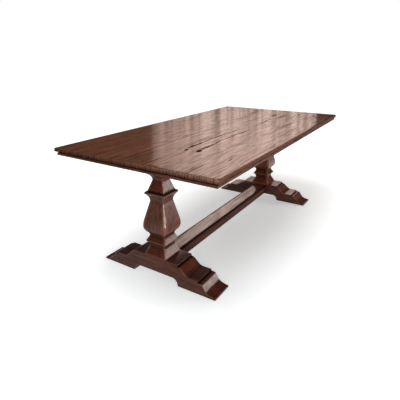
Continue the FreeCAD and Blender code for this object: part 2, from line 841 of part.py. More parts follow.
for board_index in range(len(board_widths)):
    top_board(board_index)
for seam_index in range(len(board_widths) - 1):
    board_tongue(seam_index)

long_edge = size.top_length - size.moulding_inset * 2
short_edge = size.top_width - size.moulding_inset * 2
edge_moulding("edge_moulding_front", long_edge, ZERO, -(short_edge / 2), 0)
edge_moulding("edge_moulding_back", long_edge, ZERO, short_edge / 2, 180)
edge_moulding("edge_moulding_left", short_edge, -(long_edge / 2), ZERO, -90)
edge_moulding("edge_moulding_right", short_edge, long_edge / 2, ZERO, 90)
mitre_key("mitre_key_front_left", -(long_edge / 2), -(short_edge / 2), 1, 0)
mitre_key("mitre_key_front_right", long_edge / 2, -(short_edge / 2), -1, 0)
mitre_key("mitre_key_back_left", -(long_edge / 2), short_edge / 2, -1, 180)
mitre_key("mitre_key_back_right", long_edge / 2, short_edge / 2, 1, 180)

bearer("bearer_left", -trestle_x)
bearer("bearer_right", trestle_x)
batten("batten_middle")
frame_screws()

post("post_left", -trestle_x)
post("post_right", trestle_x)
tie_rods()

foot("foot_left", -trestle_x, 0)
foot("foot_right", trestle_x, 180)
for pad_side, pad_x in (("left", -trestle_x), ("right", trestle_x)):
    glide_pad(f"glide_pad_{pad_side}_front", pad_x, -1)
    glide_pad(f"glide_pad_{pad_side}_back", pad_x, 1)

stretcher("stretcher")
stretcher_screws()

# Checks, then one file for each piece

doc.recompute()
for item in doc.Objects:
    if "Invalid" in item.State or "Error" in item.State:
        raise RuntimeError(f"{item.Label} failed: {item.State}")
for node in nodes:
    if node.Shape.isNull() or not node.Shape.isValid():
        raise RuntimeError(f"{node.Label} has no valid shape")
os.makedirs("parts", exist_ok=True)
for node in nodes:
    node.Shape.exportStep(f"parts/{node.Label}.step")
    print(node.Label, len(node.Shape.Solids), "solids", round(node.Shape.Volume / 1000), "cm3")
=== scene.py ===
import math

import bmesh
import bpy
from mathutils import Matrix, Vector, noise


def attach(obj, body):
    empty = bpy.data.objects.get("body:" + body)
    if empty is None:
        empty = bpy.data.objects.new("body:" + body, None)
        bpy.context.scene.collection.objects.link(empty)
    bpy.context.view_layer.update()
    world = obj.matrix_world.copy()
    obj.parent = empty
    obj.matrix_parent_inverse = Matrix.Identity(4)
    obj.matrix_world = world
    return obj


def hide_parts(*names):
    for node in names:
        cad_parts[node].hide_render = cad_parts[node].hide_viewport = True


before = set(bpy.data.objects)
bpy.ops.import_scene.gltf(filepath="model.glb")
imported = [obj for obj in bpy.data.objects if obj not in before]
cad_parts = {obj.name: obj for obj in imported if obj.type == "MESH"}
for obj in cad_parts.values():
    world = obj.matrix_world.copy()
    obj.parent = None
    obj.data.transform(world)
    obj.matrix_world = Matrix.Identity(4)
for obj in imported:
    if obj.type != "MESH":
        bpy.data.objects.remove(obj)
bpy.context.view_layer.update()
scene = bpy.context.scene
scene.view_settings.view_transform = "Standard"
mm = 0.001
sharpAngle = math.radians(38)  # edges keener than this stay sharp
print("frame loaded:", len(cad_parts), "nodes")


# node trees

# puts a plain value, or what another node gives out, into a socket
def feed(tree, source, socket):
    if isinstance(source, bpy.types.NodeSocket):
        tree.links.new(source, socket)
    elif source is not None:
        socket.default_value = source


def addNode(tree, kind, settings=None, **values):
    node = tree.nodes.new(kind)
    for key, value in (settings or {}).items():
        setattr(node, key, value)
    for key, value in values.items():
        feed(tree, value, node.inputs[key])
    return node


def mathNode(tree, operation, *values, clamp=False):
    node = addNode(tree, "ShaderNodeMath", {"operation": operation, "use_clamp": clamp})
    for socket, value in zip(node.inputs, values):
        feed(tree, value, socket)
    return node.outputs[0]


def times(tree, first, second):
    return mathNode(tree, "MULTIPLY", first, second)


# joins masks to a value one by one, each at its own share
def gather(tree, operation, value, masks):
    for mask, share in masks:
        value = mathNode(tree, operation, value, times(tree, mask, share))
    return value


def mixColour(tree, factor, first, second):
    node = addNode(tree, "ShaderNodeMix", {"data_type": "RGBA"})
    for index, value in ((0, factor), (6, first), (7, second)):
        feed(tree, (*value, 1) if isinstance(value, tuple) else value, node.inputs[index])
    return node.outputs[2]


def ramp(tree, source, low, high, start=0.0, finish=1.0, smooth=True):
    node = addNode(tree, "ShaderNodeMapRange", {"interpolation_type": "SMOOTHSTEP" if smooth else "LINEAR"},
                   **{"Value": source, "From Min": low, "From Max": high, "To Min": start, "To Max": finish})
    return node.outputs["Result"]


def partsOf(tree, vector):
    return addNode(tree, "ShaderNodeSeparateXYZ", Vector=vector).outputs


def stretchedNoise(tree, vector, scale, detail, roughness, distortion=0.0):
    mapping = addNode(tree, "ShaderNodeMapping", Vector=vector, Scale=scale)
    node = addNode(tree, "ShaderNodeTexNoise", Vector=mapping.outputs[0], Scale=1.0, Detail=detail,
                   Roughness=roughness, Distortion=distortion)
    return node.outputs["Fac"]


def newGroup(name, kind, inputs, outputs):
    group = bpy.data.node_groups.new(name, kind)
    for way, sockets in (("INPUT", inputs), ("OUTPUT", outputs)):
        for label, form in sockets.items():
            group.interface.new_socket(name=label, in_out=way, socket_type="NodeSocket" + form)
    return group, group.nodes.new("NodeGroupInput"), group.nodes.new("NodeGroupOutput")


def newMaterial(name):
    material = bpy.data.materials.new(name)
    material.use_nodes = True
    return material, material.node_tree, material.node_tree.nodes["Principled BSDF"]


def addObject(name, data):
    item = bpy.data.objects.new(name, data)
    scene.collection.objects.link(item)
    return item


# grain marks: stretch, detail, roughness and waviness, then the levels where a mark begins and is full
grainMarks = {
    "Figure": ((0.9, 17, 17), 4, 0.6, 0.4),
    "Streak": ((7, 190, 190), 4, 0.7, 0.0),
    "Pore": ((26, 560, 560), 2, 0.5, 0.0, 0.60, 0.72),
    "Fleck": ((4.5, 190, 190), 2, 0.5, 0.2, 0.57, 0.68),
    "Groove": ((1.5, 62, 62), 3, 0.6, 0.3, 0.54, 0.68),
    "Cloud": ((2.2, 5, 5), 2, 0.5, 0.0),
}


# fibres lie along X of the vector that comes in
def makeGrainGroup():
    group, given, result = newGroup("plankGrain", "ShaderNodeTree", {"Vector": "Vector"},
                                    dict.fromkeys(grainMarks, "Float"))
    straight = given.outputs["Vector"]
    drift = addNode(group, "ShaderNodeTexNoise", Vector=straight, Scale=1.7, Detail=1.0)
    bent = addNode(group, "ShaderNodeVectorMath", {"operation": "MULTIPLY_ADD"})
    for socket, value in zip(bent.inputs, (drift.outputs["Color"], (0.0, 0.05, 0.05), straight)):
        feed(group, value, socket)
    for mark, (stretch, detail, roughness, waviness, *levels) in grainMarks.items():
        vector = straight if mark == "Cloud" else bent.outputs[0]
        value = stretchedNoise(group, vector, stretch, detail, roughness, waviness)
        feed(group, ramp(group, value, *levels) if levels else value, result.inputs[mark])
    return group


# a split that runs along X: 1 in the open middle, 0 outside
def makeSplitGroup():
    group, given, result = newGroup(
        "splitMark", "ShaderNodeTree", {"Vector": "Vector", "Middle": "Vector", "Reach": "Float", "Gape": "Float"},
        {"Mask": "Float"})
    wander = addNode(group, "ShaderNodeTexNoise", Vector=given.outputs["Vector"], Scale=6.0, Detail=4.0, Roughness=0.7)
    away = addNode(group, "ShaderNodeVectorMath", {"operation": "SUBTRACT"})
    feed(group, given.outputs["Vector"], away.inputs[0])
    feed(group, given.outputs["Middle"], away.inputs[1])
    parts = partsOf(group, away.outputs[0])
    along = mathNode(group, "DIVIDE", parts["X"], given.outputs["Reach"])
    offset = times(group, mathNode(group, "SUBTRACT", wander.outputs["Fac"], 0.5), 0.06)
    across = mathNode(group, "DIVIDE", mathNode(group, "ADD", parts["Y"], offset), given.outputs["Gape"])
    spread = mathNode(group, "ADD", times(group, along, along), times(group, across, across))
    feed(group, mathNode(group, "SUBTRACT", 1.0, ramp(group, spread, 0.35, 1.0)), result.inputs["Mask"])
    return group


grainGroup = makeGrainGroup()
splitGroup = makeSplitGroup()


# one recipe for each stained wood; turn brings fibres that lie along Y or Z onto X
alongY, alongZ = (0, 0, math.pi / 2), (0, math.pi / 2, 0)
# lighter colour of rubbed edges: partly wear, partly painted highlight along the arrises
plainRubHighlight = (0.26, 0.12, 0.08)
stain = {
    "topBoards": {
        "dark": (0.040, 0.012, 0.007), "mid": (0.150, 0.043, 0.019), "light": (0.230, 0.080, 0.038),
        "olive": (0.110, 0.050, 0.022), "gloss": 0.40, "ior": 1.08, "coat": (1.25, 0.11), "relief": 0.24,
        "fleck": 0.7, "groove": 0.6, "rubbed": 0.18,
    },
    # a lighter, unvarnished copy of the top's finish for the board edges: painted light
    "boardEdgeLitCopy": {
        "dark": (0.040, 0.012, 0.007), "mid": (0.170, 0.058, 0.034), "light": (0.255, 0.105, 0.063),
        "olive": (0.136, 0.063, 0.034), "gloss": 0.45, "ior": 1.10, "relief": 0.2,
        "fleck": 0.6, "rubbed": 0.30, "rubColour": (0.48, 0.27, 0.205),
    },
    "edgeStrip": {
        "dark": (0.040, 0.013, 0.009), "mid": (0.120, 0.043, 0.028), "light": (0.180, 0.076, 0.050),
        "olive": (0.100, 0.046, 0.028), "gloss": 0.42, "ior": 1.09, "relief": 0.12, "fleck": 0.3, "rubbed": 0.35,
    },
    "postWood": {
        "turn": alongZ, "dark": (0.050, 0.013, 0.007), "mid": (0.100, 0.0245, 0.0125), "light": (0.137, 0.039, 0.0215),
        "olive": (0.092, 0.031, 0.017), "gloss": 0.40, "ior": 1.08, "coat": (1.265, 0.11), "relief": 0.12,
        "fleck": 0.6, "groove": 0.6, "rubbed": 0.5, "rubColour": (0.36, 0.17, 0.12),
    },
    "footWood": {
        "turn": alongY, "dark": (0.060, 0.016, 0.009), "mid": (0.145, 0.042, 0.023), "light": (0.195, 0.066, 0.039),
        "olive": (0.125, 0.046, 0.027), "gloss": 0.40, "ior": 1.08, "coat": (1.30, 0.15), "relief": 0.12,
        "fleck": 0.6, "groove": 0.5, "rubbed": 0.75, "rubColour": (0.42, 0.21, 0.15),
    },
    # a lighter, unvarnished copy of the stretcher's finish for its sides and bevels: painted light
    "stretcherSideLitCopy": {
        "dark": (0.042, 0.014, 0.009), "mid": (0.120, 0.040, 0.026), "light": (0.165, 0.064, 0.043),
        "olive": (0.105, 0.042, 0.027), "gloss": 0.35, "ior": 1.16, "relief": 0.2,
        "fleck": 0.6, "groove": 0.6, "rubbed": 0.45,
    },
    "stretcherWood": {
        "dark": (0.042, 0.014, 0.009), "mid": (0.105, 0.037, 0.025), "light": (0.150, 0.060, 0.041),
        "olive": (0.095, 0.040, 0.026), "gloss": 0.40, "ior": 1.10, "coat": (1.85, 0.14), "relief": 0.26,
        "fleck": 1.1, "groove": 1.4, "rubbed": 0.45,
    },
    "railWood": {
        "turn": alongY, "dark": (0.045, 0.017, 0.011), "mid": (0.095, 0.038, 0.026), "light": (0.130, 0.056, 0.039),
        "olive": (0.085, 0.039, 0.026), "gloss": 0.45, "ior": 1.28, "relief": 0.12, "fleck": 0.2, "rubbed": 0.2,
    },
}
stain["endStrip"] = {**stain["edgeStrip"], "turn": alongY}
# a copy of the foot's finish with a stronger varnish, so the level faces read brighter: painted light
stain["footTopLitCopy"] = {**stain["footWood"], "coat": (1.60, 0.13), "rubColour": plainRubHighlight}
# shadeColour: the near-black that the shade marks are painted towards, as painted shade in hollow corners, under the
# slab and by the floor, and on darkened cut ends and sides
shadeColour, splitColour = (0.007, 0.003, 0.002), (0.010, 0.005, 0.004)
# middle of each split on the top, then its half length and half width
splits = [
    (-0.30, -0.116, 0.44, 0.0055), (-0.58, -0.120, 0.11, 0.0090), (-0.69, -0.136, 0.024, 0.0150),
    (-0.30, -0.190, 0.40, 0.0052), (-0.60, -0.203, 0.12, 0.0090), (-0.68, -0.215, 0.032, 0.0160),
    (0.72, -0.110, 0.06, 0.0130), (0.69, -0.180, 0.15, 0.0080), (0.42, -0.150, 0.18, 0.0055),
    (-0.925, -0.115, 0.075, 0.0032), (-0.96, -0.200, 0.04, 0.0034), (-1.0, -0.225, 0.03, 0.0034),
    (-0.65, -0.36, 0.04, 0.0034), (-0.74, -0.44, 0.035, 0.0034), (-0.375, 0.088, 0.05, 0.0050),
    (-0.28, 0.064, 0.48, 0.0022), (0.30, 0.062, 0.30, 0.0020),
]


# open pores where the boards are cut across
def endTicks(tree, vector):
    facing = partsOf(tree, addNode(tree, "ShaderNodeNewGeometry").outputs["Normal"])
    cut = ramp(tree, mathNode(tree, "ABSOLUTE", facing["X"]), 0.45, 0.8)
    ticks = ramp(tree, stretchedNoise(tree, vector, (60, 125, 16), 2, 0.6), 0.52, 0.60)
    return times(tree, times(tree, ticks, cut), 0.85)


def stainedWood(name):
    recipe = stain[name]
    dark, olive = recipe["dark"], recipe["olive"]
    material, tree, shader = newMaterial(name)
    place = addNode(tree, "ShaderNodeTexCoord").outputs["Object"]
    turned = addNode(tree, "ShaderNodeMapping", Vector=place, Rotation=recipe.get("turn", (0, 0, 0)))
    cutFrom, wearAndHighlight, shadeMarks = (addNode(tree, "ShaderNodeAttribute", {"attribute_name": label}).outputs
                            for label in ("cutFrom", "wearAndHighlight", "shadeMarks"))
    moved = addNode(tree, "ShaderNodeVectorMath", {"operation": "ADD"})
    feed(tree, turned.outputs[0], moved.inputs[0])
    feed(tree, cutFrom["Vector"], moved.inputs[1])
    grain = addNode(tree, "ShaderNodeGroup", {"node_tree": grainGroup}, Vector=moved.outputs[0]).outputs

    colour = mixColour(tree, ramp(tree, grain["Figure"], 0.30, 0.72), recipe["mid"], recipe["light"])
    if name == "topBoards":  # no two boards took the stain alike
        tone = addNode(tree, "ShaderNodeTexWhiteNoise", {"noise_dimensions": "3D"}, Vector=cutFrom["Vector"])
        colour = mixColour(tree, times(tree, tone.outputs["Value"], 0.4), colour, olive)
    cloud = ramp(tree, grain["Cloud"], 0.45, 0.75)
    streak = ramp(tree, grain["Streak"], 0.52, 0.36)
    groove = times(tree, grain["Groove"], recipe.get("groove", 0.0))
    pore, fleck, shadeMask = grain["Pore"], grain["Fleck"], shadeMarks["Fac"]
    if name in ("footWood", "footTopLitCopy"):  # painted contact shadow close to the floor
        shadeMask = mathNode(tree, "MAXIMUM", shadeMask, ramp(tree, partsOf(tree, place)["Z"], 0.010, 0.004))
    # grain marks, then wear with painted highlight on the edges, then painted shade
    for mask, share, tint in (
            (cloud, 0.6, olive), (streak, 0.85, dark), (pore, 0.75, dark), (groove, 1.0, dark),
            (fleck, recipe["fleck"], dark), (wearAndHighlight["Fac"], recipe["rubbed"], recipe.get("rubColour", plainRubHighlight)),
            (shadeMask, 0.9, shadeColour)):
        colour = mixColour(tree, times(tree, mask, share), colour, tint)

    height = gather(tree, "SUBTRACT", times(tree, grain["Streak"], 0.6),
                    ((pore, 0.4), (fleck, recipe["fleck"]), (groove, 1.0)))
    rough = mathNode(tree, "MULTIPLY_ADD", grain["Streak"], 0.12, recipe["gloss"] - 0.06)
    dull = gather(tree, "ADD", times(tree, fleck, 0.4), ((shadeMask, 0.4), (groove, 0.35), (streak, 0.12)))
    rough = mathNode(tree, "ADD", rough, dull, clamp=True)
    bareMasks = [(groove, 1.0), (streak, 0.4), (shadeMask, 1.0)]
    if name in ("topBoards", "boardEdgeLitCopy"):
        opened = endTicks(tree, place)
        for x, y, reach, gape in splits:
            mark = addNode(tree, "ShaderNodeGroup", {"node_tree": splitGroup}, Vector=place,
                           Middle=(x, y, 0.0), Reach=reach, Gape=gape)
            opened = mathNode(tree, "MAXIMUM", opened, mark.outputs["Mask"])
        colour = mixColour(tree, times(tree, opened, 0.96), colour, splitColour)
        height = gather(tree, "SUBTRACT", height, [(opened, 1.5)])
        rough = mathNode(tree, "ADD", rough, times(tree, opened, 0.6), clamp=True)
        bareMasks.append((opened, 1.0))
    if "coat" in recipe:  # varnish that leaves the open grain bare
        bare = gather(tree, "MAXIMUM", times(tree, fleck, recipe["fleck"]), bareMasks)
        feed(tree, mathNode(tree, "SUBTRACT", 1.0, bare, clamp=True), shader.inputs["Coat Weight"])
        shader.inputs["Coat IOR"].default_value, shader.inputs["Coat Roughness"].default_value = recipe["coat"]
    relief = addNode(tree, "ShaderNodeBump", Strength=recipe["relief"], Distance=0.0012, Height=height)
    for label, value in (("Normal", relief.outputs["Normal"]), ("Base Color", colour), ("Roughness", rough),
                         ("IOR", recipe["ior"])):
        feed(tree, value, shader.inputs[label])
    return material


wood = {name: stainedWood(name) for name in stain}
print("stained woods mixed:", len(wood))


# plain outlines, then their corners eased

def arcTo(points, finish, bend, steps=14):
    start = points[-1]
    across, rise = finish[0] - start[0], finish[1] - start[1]
    chord = across * across + rise * rise
    centre = {
        "levelStart": lambda: (start[0] + chord / (2 * across), start[1]),
        "levelEnd": lambda: (finish[0] - chord / (2 * across), finish[1]),
        "plumbStart": lambda: (start[0], start[1] + chord / (2 * rise)),
        "plumbEnd": lambda: (finish[0], finish[1] - chord / (2 * rise)),
    }[bend]()
    radius = math.dist(start, centre)
    first = math.atan2(start[1] - centre[1], start[0] - centre[0])
    turn = math.atan2(finish[1] - centre[1], finish[0] - centre[0]) - first
    turn = (turn + math.pi) % (2 * math.pi) - math.pi
    for step in range(1, steps):
        angle = first + turn * step / steps
        points.append((centre[0] + radius * math.cos(angle), centre[1] + radius * math.sin(angle)))
    points.append(finish)


def drawOutline(corners):
    points = [corners[0][:2]]
    for corner in corners[1:]:
        if len(corner) == 3:
            arcTo(points, corner[:2], corner[2])
        else:
            points.append(corner[:2])
    return points


def partWay(start, finish, share):
    return (start[0] + (finish[0] - start[0]) * share, start[1] + (finish[1] - start[1]) * share)


def looped(points, closed):
    return points + [points[0]] if closed else points


def evenPoints(points, spacing, closed):
    run = looped(points, closed)
    even = []
    for start, finish in zip(run, run[1:]):
        count = max(1, round(math.dist(start, finish) / spacing))
        even += [partWay(start, finish, step / count) for step in range(count)]
    return even if closed else even + [points[-1]]


# each point becomes a weighted mean of the points round it
def easeCorners(points, ease, closed=True):
    perEase, reach = 3, 9  # points to one ease, and points that count on each side
    even = evenPoints(points, ease / perEase, closed)
    weights = [math.exp(-0.5 * (k / perEase) ** 2) for k in range(-reach, reach + 1)]
    count = len(even)
    soft = []
    for index in range(count):
        span = reach if closed else min(reach, index, count - 1 - index)
        x = y = used = 0.0
        for k in range(-span, span + 1):
            point = even[(index + k) % count]
            weight = weights[k + reach]
            x += point[0] * weight
            y += point[1] * weight
            used += weight
        soft.append((x / used, y / used))
    return addShoulders(thinOut(soft, ease * 0.012, closed), closed)


# drops the points that lie within the slack of a straight line
def thinOut(points, slack, closed):
    run = looped(points, closed)
    keep = {0, len(run) - 1}
    if closed:
        keep.add(len(run) // 2)
    marks = sorted(keep)
    stack = list(zip(marks, marks[1:]))
    while stack:
        first, last = stack.pop()
        a, b = run[first], run[last]
        length = math.dist(a, b) or 1e-9
        worst, where = 0.0, None
        for index in range(first + 1, last):
            p = run[index]
            away = abs((b[0] - a[0]) * (a[1] - p[1]) - (a[0] - p[0]) * (b[1] - a[1])) / length
            if away > worst:
                worst, where = away, index
        if where is not None and worst > slack:
            keep.add(where)
            stack += [(first, where), (where, last)]
    kept = [run[index] for index in sorted(keep)]
    return kept[:-1] if closed else kept


# points close to each corner, so that the wear with painted highlight, and the painted shade, stay narrow at corners
def addShoulders(points, closed):
    run = looped(points, closed)
    full = []
    for start, finish in zip(run, run[1:]):
        length = math.dist(start, finish)
        shares = [step / length for step in (2.5, 6, 10, 15) if step < length * 0.45]
        shares += [1 - share for share in reversed(shares)]
        full += [start] + [partWay(start, finish, share) for share in shares]
    return full if closed else full + [points[-1]]


def signedArea(points):
    return sum(points[i - 1][0] * points[i][1] - points[i][0] * points[i - 1][1] for i in range(len(points)))


# unit directions into and out of a point
def edgesAt(points, index):
    before, here, after = points[index - 1], points[index], points[(index + 1) % len(points)]
    return (Vector((here[0] - before[0], here[1] - before[1])).normalized(),
            Vector((after[0] - here[0], after[1] - here[1])).normalized())


def insetOutline(points, depth):
    side = 1 if signedArea(points) > 0 else -1
    inner = []
    for index, (x, y) in enumerate(points):
        first, second = edgesAt(points, index)
        normal = Vector((-(first.y + second.y), first.x + second.x)) * side
        spread = max(normal.length_squared / 2, 0.35)
        inner.append((x + normal.x * depth / spread, y + normal.y * depth / spread))
    return inner


def cornerTurn(points, index):
    first, second = edgesAt(points, index)
    return min(1.0, max(0.0, (1 - first.dot(second)) * 8))


# weights along an outline: painted shade in its hollow corners, or with proud, wear and painted highlight on its outer
# corners
def bendMarksAlong(points, closed, spread, proud=False):
    count = len(points)
    places, turns, run = [], [], 0.0
    inside = signedArea(points) > 0 if closed else True
    for index in range(count):
        run += math.dist(points[index - 1], points[index]) if index else 0.0
        places.append(run)
        if not closed and index in (0, count - 1):
            turns.append(0.0)
            continue
        before, here, after = points[index - 1], points[index], points[(index + 1) % count]
        first = (here[0] - before[0], here[1] - before[1])
        second = (after[0] - here[0], after[1] - here[1])
        turn = math.atan2(first[0] * second[1] - first[1] * second[0], first[0] * second[0] + first[1] * second[1])
        turns.append(max(0.0, -turn if inside != proud else turn))
    bends = [(place, turn) for place, turn in zip(places, turns) if turn > 0.01]
    return [min(1.0, sum(turn * math.exp(-0.5 * ((place - at) / spread) ** 2) for at, turn in bends))
            for place in places]


# meshes from rings of points

def loft(name, rings, wearAndHighlight, shadeMarks, material, cutFrom=(0, 0, 0)):
    mesh = bpy.data.meshes.new(name)
    size = len(rings[0])
    verts = [Vector(point) * mm for ring in rings for point in ring]
    faces = [tuple(reversed(range(size))), tuple(range((len(rings) - 1) * size, len(rings) * size))]
    for row in range(len(rings) - 1):
        for index in range(size):
            after = (index + 1) % size
            faces.append((row * size + index, row * size + after,
                          (row + 1) * size + after, (row + 1) * size + index))
    mesh.from_pydata(verts, [], faces)
    shape = bmesh.new()
    shape.from_mesh(mesh)
    bmesh.ops.recalc_face_normals(shape, faces=shape.faces)
    for face in shape.faces:
        face.smooth = len(face.verts) == 4
    caps = [face for face in shape.faces if len(face.verts) > 4]
    bmesh.ops.triangulate(shape, faces=caps, ngon_method="EAR_CLIP")
    shape.to_mesh(mesh)
    shape.free()
    for label, table in (("wearAndHighlight", wearAndHighlight), ("shadeMarks", shadeMarks)):
        values = [value for ring in table for value in ring]
        mesh.attributes.new(label, "FLOAT", "POINT").data.foreach_set("value", values)
    start = mesh.attributes.new("cutFrom", "FLOAT_VECTOR", "POINT")
    start.data.foreach_set("vector", [part for _ in verts for part in cutFrom])
    mesh.set_sharp_from_angle(angle=sharpAngle)
    mesh.materials.append(material)
    return addObject(name, mesh)


# holes are x, y, lower z, upper z and diameter
def cutHoles(piece, holes):
    tools = []
    for x, y, low, high, across in holes:
        shape = bmesh.new()
        bmesh.ops.create_cone(shape, cap_ends=True, segments=40, radius1=across / 2 * mm,
                              radius2=across / 2 * mm, depth=(high - low) * mm,
                              matrix=Matrix.Translation(Vector((x, y, (low + high) / 2)) * mm))
        mesh = bpy.data.meshes.new("borer")
        shape.to_mesh(mesh)
        shape.free()
        tools.append(addObject("borer", mesh))
        cut = piece.modifiers.new("bore", "BOOLEAN")
        cut.operation, cut.solver, cut.object = "DIFFERENCE", "EXACT", tools[-1]
    settle(piece)
    for tool in tools:
        bpy.data.objects.remove(tool)


# leaves the piece as a plain mesh without modifiers
def settle(piece):
    bpy.context.view_layer.update()
    made = bpy.data.meshes.new_from_object(piece.evaluated_get(bpy.context.evaluated_depsgraph_get()))
    piece.modifiers.clear()
    piece.data = made
    made.set_sharp_from_angle(angle=sharpAngle)


# a second finish on the faces that the test picks
def refinish(piece, material, test):
    piece.data.materials.append(material)
    for face in piece.data.polygons:
        if test(face.normal, face.center):
            face.material_index = 1


def hand(piece, slot, *nodes):
    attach(piece, "root")
    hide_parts(*nodes)


def stations(low, high, spacing):
    count = max(1, round((high - low) / spacing))
    return [low + (high - low) * step / count for step in range(count + 1)]


# rings at one end, given from the tip inwards, are set at both ends of a body
def bothEnds(end, body):
    return [(-x, *rest) for x, *rest in end] + body + end[::-1]


# a wandering value from 0 to 1
def ripple(*spot):
    return 0.5 + 0.5 * noise.noise(Vector(spot))


# a bar with one outline all along X, its end arrises eased too
def bar(name, outline, middle, half, ease, material, cutFrom, spacing=60, topRub=0.0, sideDarken=0.0, endDarken=0.0):
    shoulder = half - ease - 3
    end = []
    for step in range(5):
        angle = math.pi / 2 * step / 4
        back = ease * (1 - math.cos(angle))
        end.append((half - back, ease * (1 - math.sin(angle)), 1.0 if back else 0.0))
    end.append((shoulder, 0.0, 0.0))
    plan = bothEnds(end, [(x, 0.0, 0.0) for x in stations(-shoulder, shoulder, spacing)][1:-1])
    turn = [cornerTurn(outline, index) for index in range(len(outline))]
    # painted shade in the hollow corners of the outline; upright faces and the ends can be darkened as well
    dark = bendMarksAlong(outline, True, 6)
    for index in range(len(outline)):
        before, after = outline[index - 1], outline[(index + 1) % len(outline)]
        slope = abs(after[1] - before[1]) / (math.dist(before, after) or 1)
        if slope < 0.1 and after[0] < before[0]:  # level and facing up
            turn[index] = max(turn[index], topRub)
        if slope > 0.95:  # upright
            dark[index] = max(dark[index], sideDarken)
    rings, wearAndHighlight, shadeMarks = [], [], []
    for x, inset, rub in plan:
        shape = insetOutline(outline, inset) if inset else outline
        rings.append([(middle + x, y, z) for y, z in shape])
        wearAndHighlight.append([max(rub, value) if abs(x) < half else 0.0 for value in turn])
        shadeMarks.append(dark if abs(x) < half else [endDarken] * len(dark))
    return loft(name, rings, wearAndHighlight, shadeMarks, material, cutFrom)


# plank top: widths from the back edge to the front edge, rounds, how far faces and edges wander, wear and darkening
plankTop = {
    "length": 2100, "width": 1100, "underside": 738, "upper": 760, "boardWidths": (222, 269, 197, 190, 222),
    "rimRound": 6.0, "seamRound": 0.4, "lowRound": 1.0, "ringGap": 30, "pointGap": 9, "plainBelow": 9, "blend": 6,
    "wander": 0.5, "edgeWave": 90, "endWave": 60, "heightWave": 30, "planing": 0.5, "planeWave": (420, 28),
    "rimZone": 7, "endZone": 8, "rubZone": 4, "rimRub": 0.8, "rimDarken": 0.15, "endDarken": 0.3,
}


def makeBoard(index):
    size = plankTop
    low, top, roundOff, heightWave = size["underside"], size["upper"], size["rimRound"], size["heightWave"]
    back = size["width"] / 2 - sum(size["boardWidths"][:index])
    front = back - size["boardWidths"][index]
    isBack, isFront = index == 0, index == len(size["boardWidths"]) - 1

    def corner(y, z, towardsY, towardsZ, radius, firstAngle):
        angles = [firstAngle + math.pi / 2 * step / 5 for step in range(6)]
        return [(y + towardsY * radius + radius * math.cos(angle), z + towardsZ * radius + radius * math.sin(angle))
                for angle in angles]

    def nearRim(y, zone):
        return (isFront and y < front + zone) or (isBack and y > back - zone)

    frontTop, backTop = (roundOff if outer else size["seamRound"] for outer in (isFront, isBack))
    outline = corner(front, low, 1, 1, size["lowRound"], math.pi)
    outline += corner(back, low, -1, 1, size["lowRound"], -math.pi / 2) + corner(back, top, -1, -1, backTop, 0)
    outline += [(y, top) for y in stations(front + frontTop, back - backTop, size["pointGap"])[1:-1]][::-1]
    outline += corner(front, top, 1, -1, frontTop, math.pi / 2)
    half = size["length"] / 2
    end = []
    for step in range(7):
        angle = math.pi / 2 * step / 6
        end.append((half - roundOff * (1 - math.cos(angle)), roundOff * (1 - math.sin(angle)), 1 - step / 6))
    places = stations(-(half - roundOff), half - roundOff, size["ringGap"])[1:-1]
    plan = bothEnds(end, [(x, 0.0, 0.0) for x in places])
    alongWave, acrossWave = size["planeWave"]
    rings, wearAndHighlight = [], []
    for x, drop, rub in plan:
        ring, rubbed = [], []
        for y, z in outline:
            # 0 on the underside, 1 where the board is planed and rounded
            upper = max(0.0, min(1.0, (z - low - size["plainBelow"]) / size["blend"]))
            hollow = size["planing"] * ripple(x / alongWave, y / acrossWave, index * 3.1)
            edge = 0.0
            if isFront and y < front + size["rimZone"]:
                edge = size["wander"] * ripple(x / size["edgeWave"], 4.2, z / heightWave)
            if isBack and y > back - size["rimZone"]:
                edge = -size["wander"] * ripple(x / size["edgeWave"], 8.4, z / heightWave)
            reach = abs(x)
            if reach > half - size["endZone"]:
                reach -= size["wander"] * ripple(y / size["endWave"], 2.2, z / heightWave)
            ring.append((math.copysign(reach, x), y + edge, z - (drop + hollow) * upper))
            endRubAndLight = rub * (0.6 + max(0.0, min(2.4, (100 - y) / 260)))  # painted light: lighter towards the front, where the front lamp falls, over the wear
            onRim = nearRim(y, size["rubZone"]) and z < top
            rubbed.append(max(endRubAndLight * upper, size["rimRub"] * upper if onRim else 0.0))
        rings.append(ring)
        wearAndHighlight.append(rubbed)
    rim = [size["rimDarken"] if nearRim(y, 1) else 0.0 for y, z in outline]
    cutEnd = [[size["endDarken"]] * len(rim)]
    shadeMarks = cutEnd + [rim] * (len(plan) - 2) + cutEnd
    board = loft(f"board{index + 1}", rings, wearAndHighlight, shadeMarks, wood["topBoards"], (index * 1.37, index * 0.61, 0))
    limit = Vector((half - size["rimZone"], size["width"] / 2 - size["rimZone"])) * mm
    # the edge faces take the lighter copy of the finish: painted light
    refinish(board, wood["boardEdgeLitCopy"], lambda normal, spot: abs(normal.z) < 0.75 and (
        abs(spot.x) > limit.x or abs(spot.y) > limit.y))
    hand(board, "top_wood", f"top_board_{index + 1}")


for boardIndex in range(len(plankTop["boardWidths"])):
    makeBoard(boardIndex)
print("top boards laid")


# strips under the rim, mitred at the corners; the outline is depth inwards and height, and the cove is painted dark as
# the shadow under the slab
rimStrip = {
    "inset": 11, "height": 24, "ease": 1.1, "mitreLine": 0.5, "ringGap": 60,
    "outline": [(0, 3), (3, 0), (45, 0), (45, 24), (9, 24), (0, 15, "levelStart")],
    "coveDepth": 9.5, "coveHeight": 15.5, "coveShadow": 0.85,
}


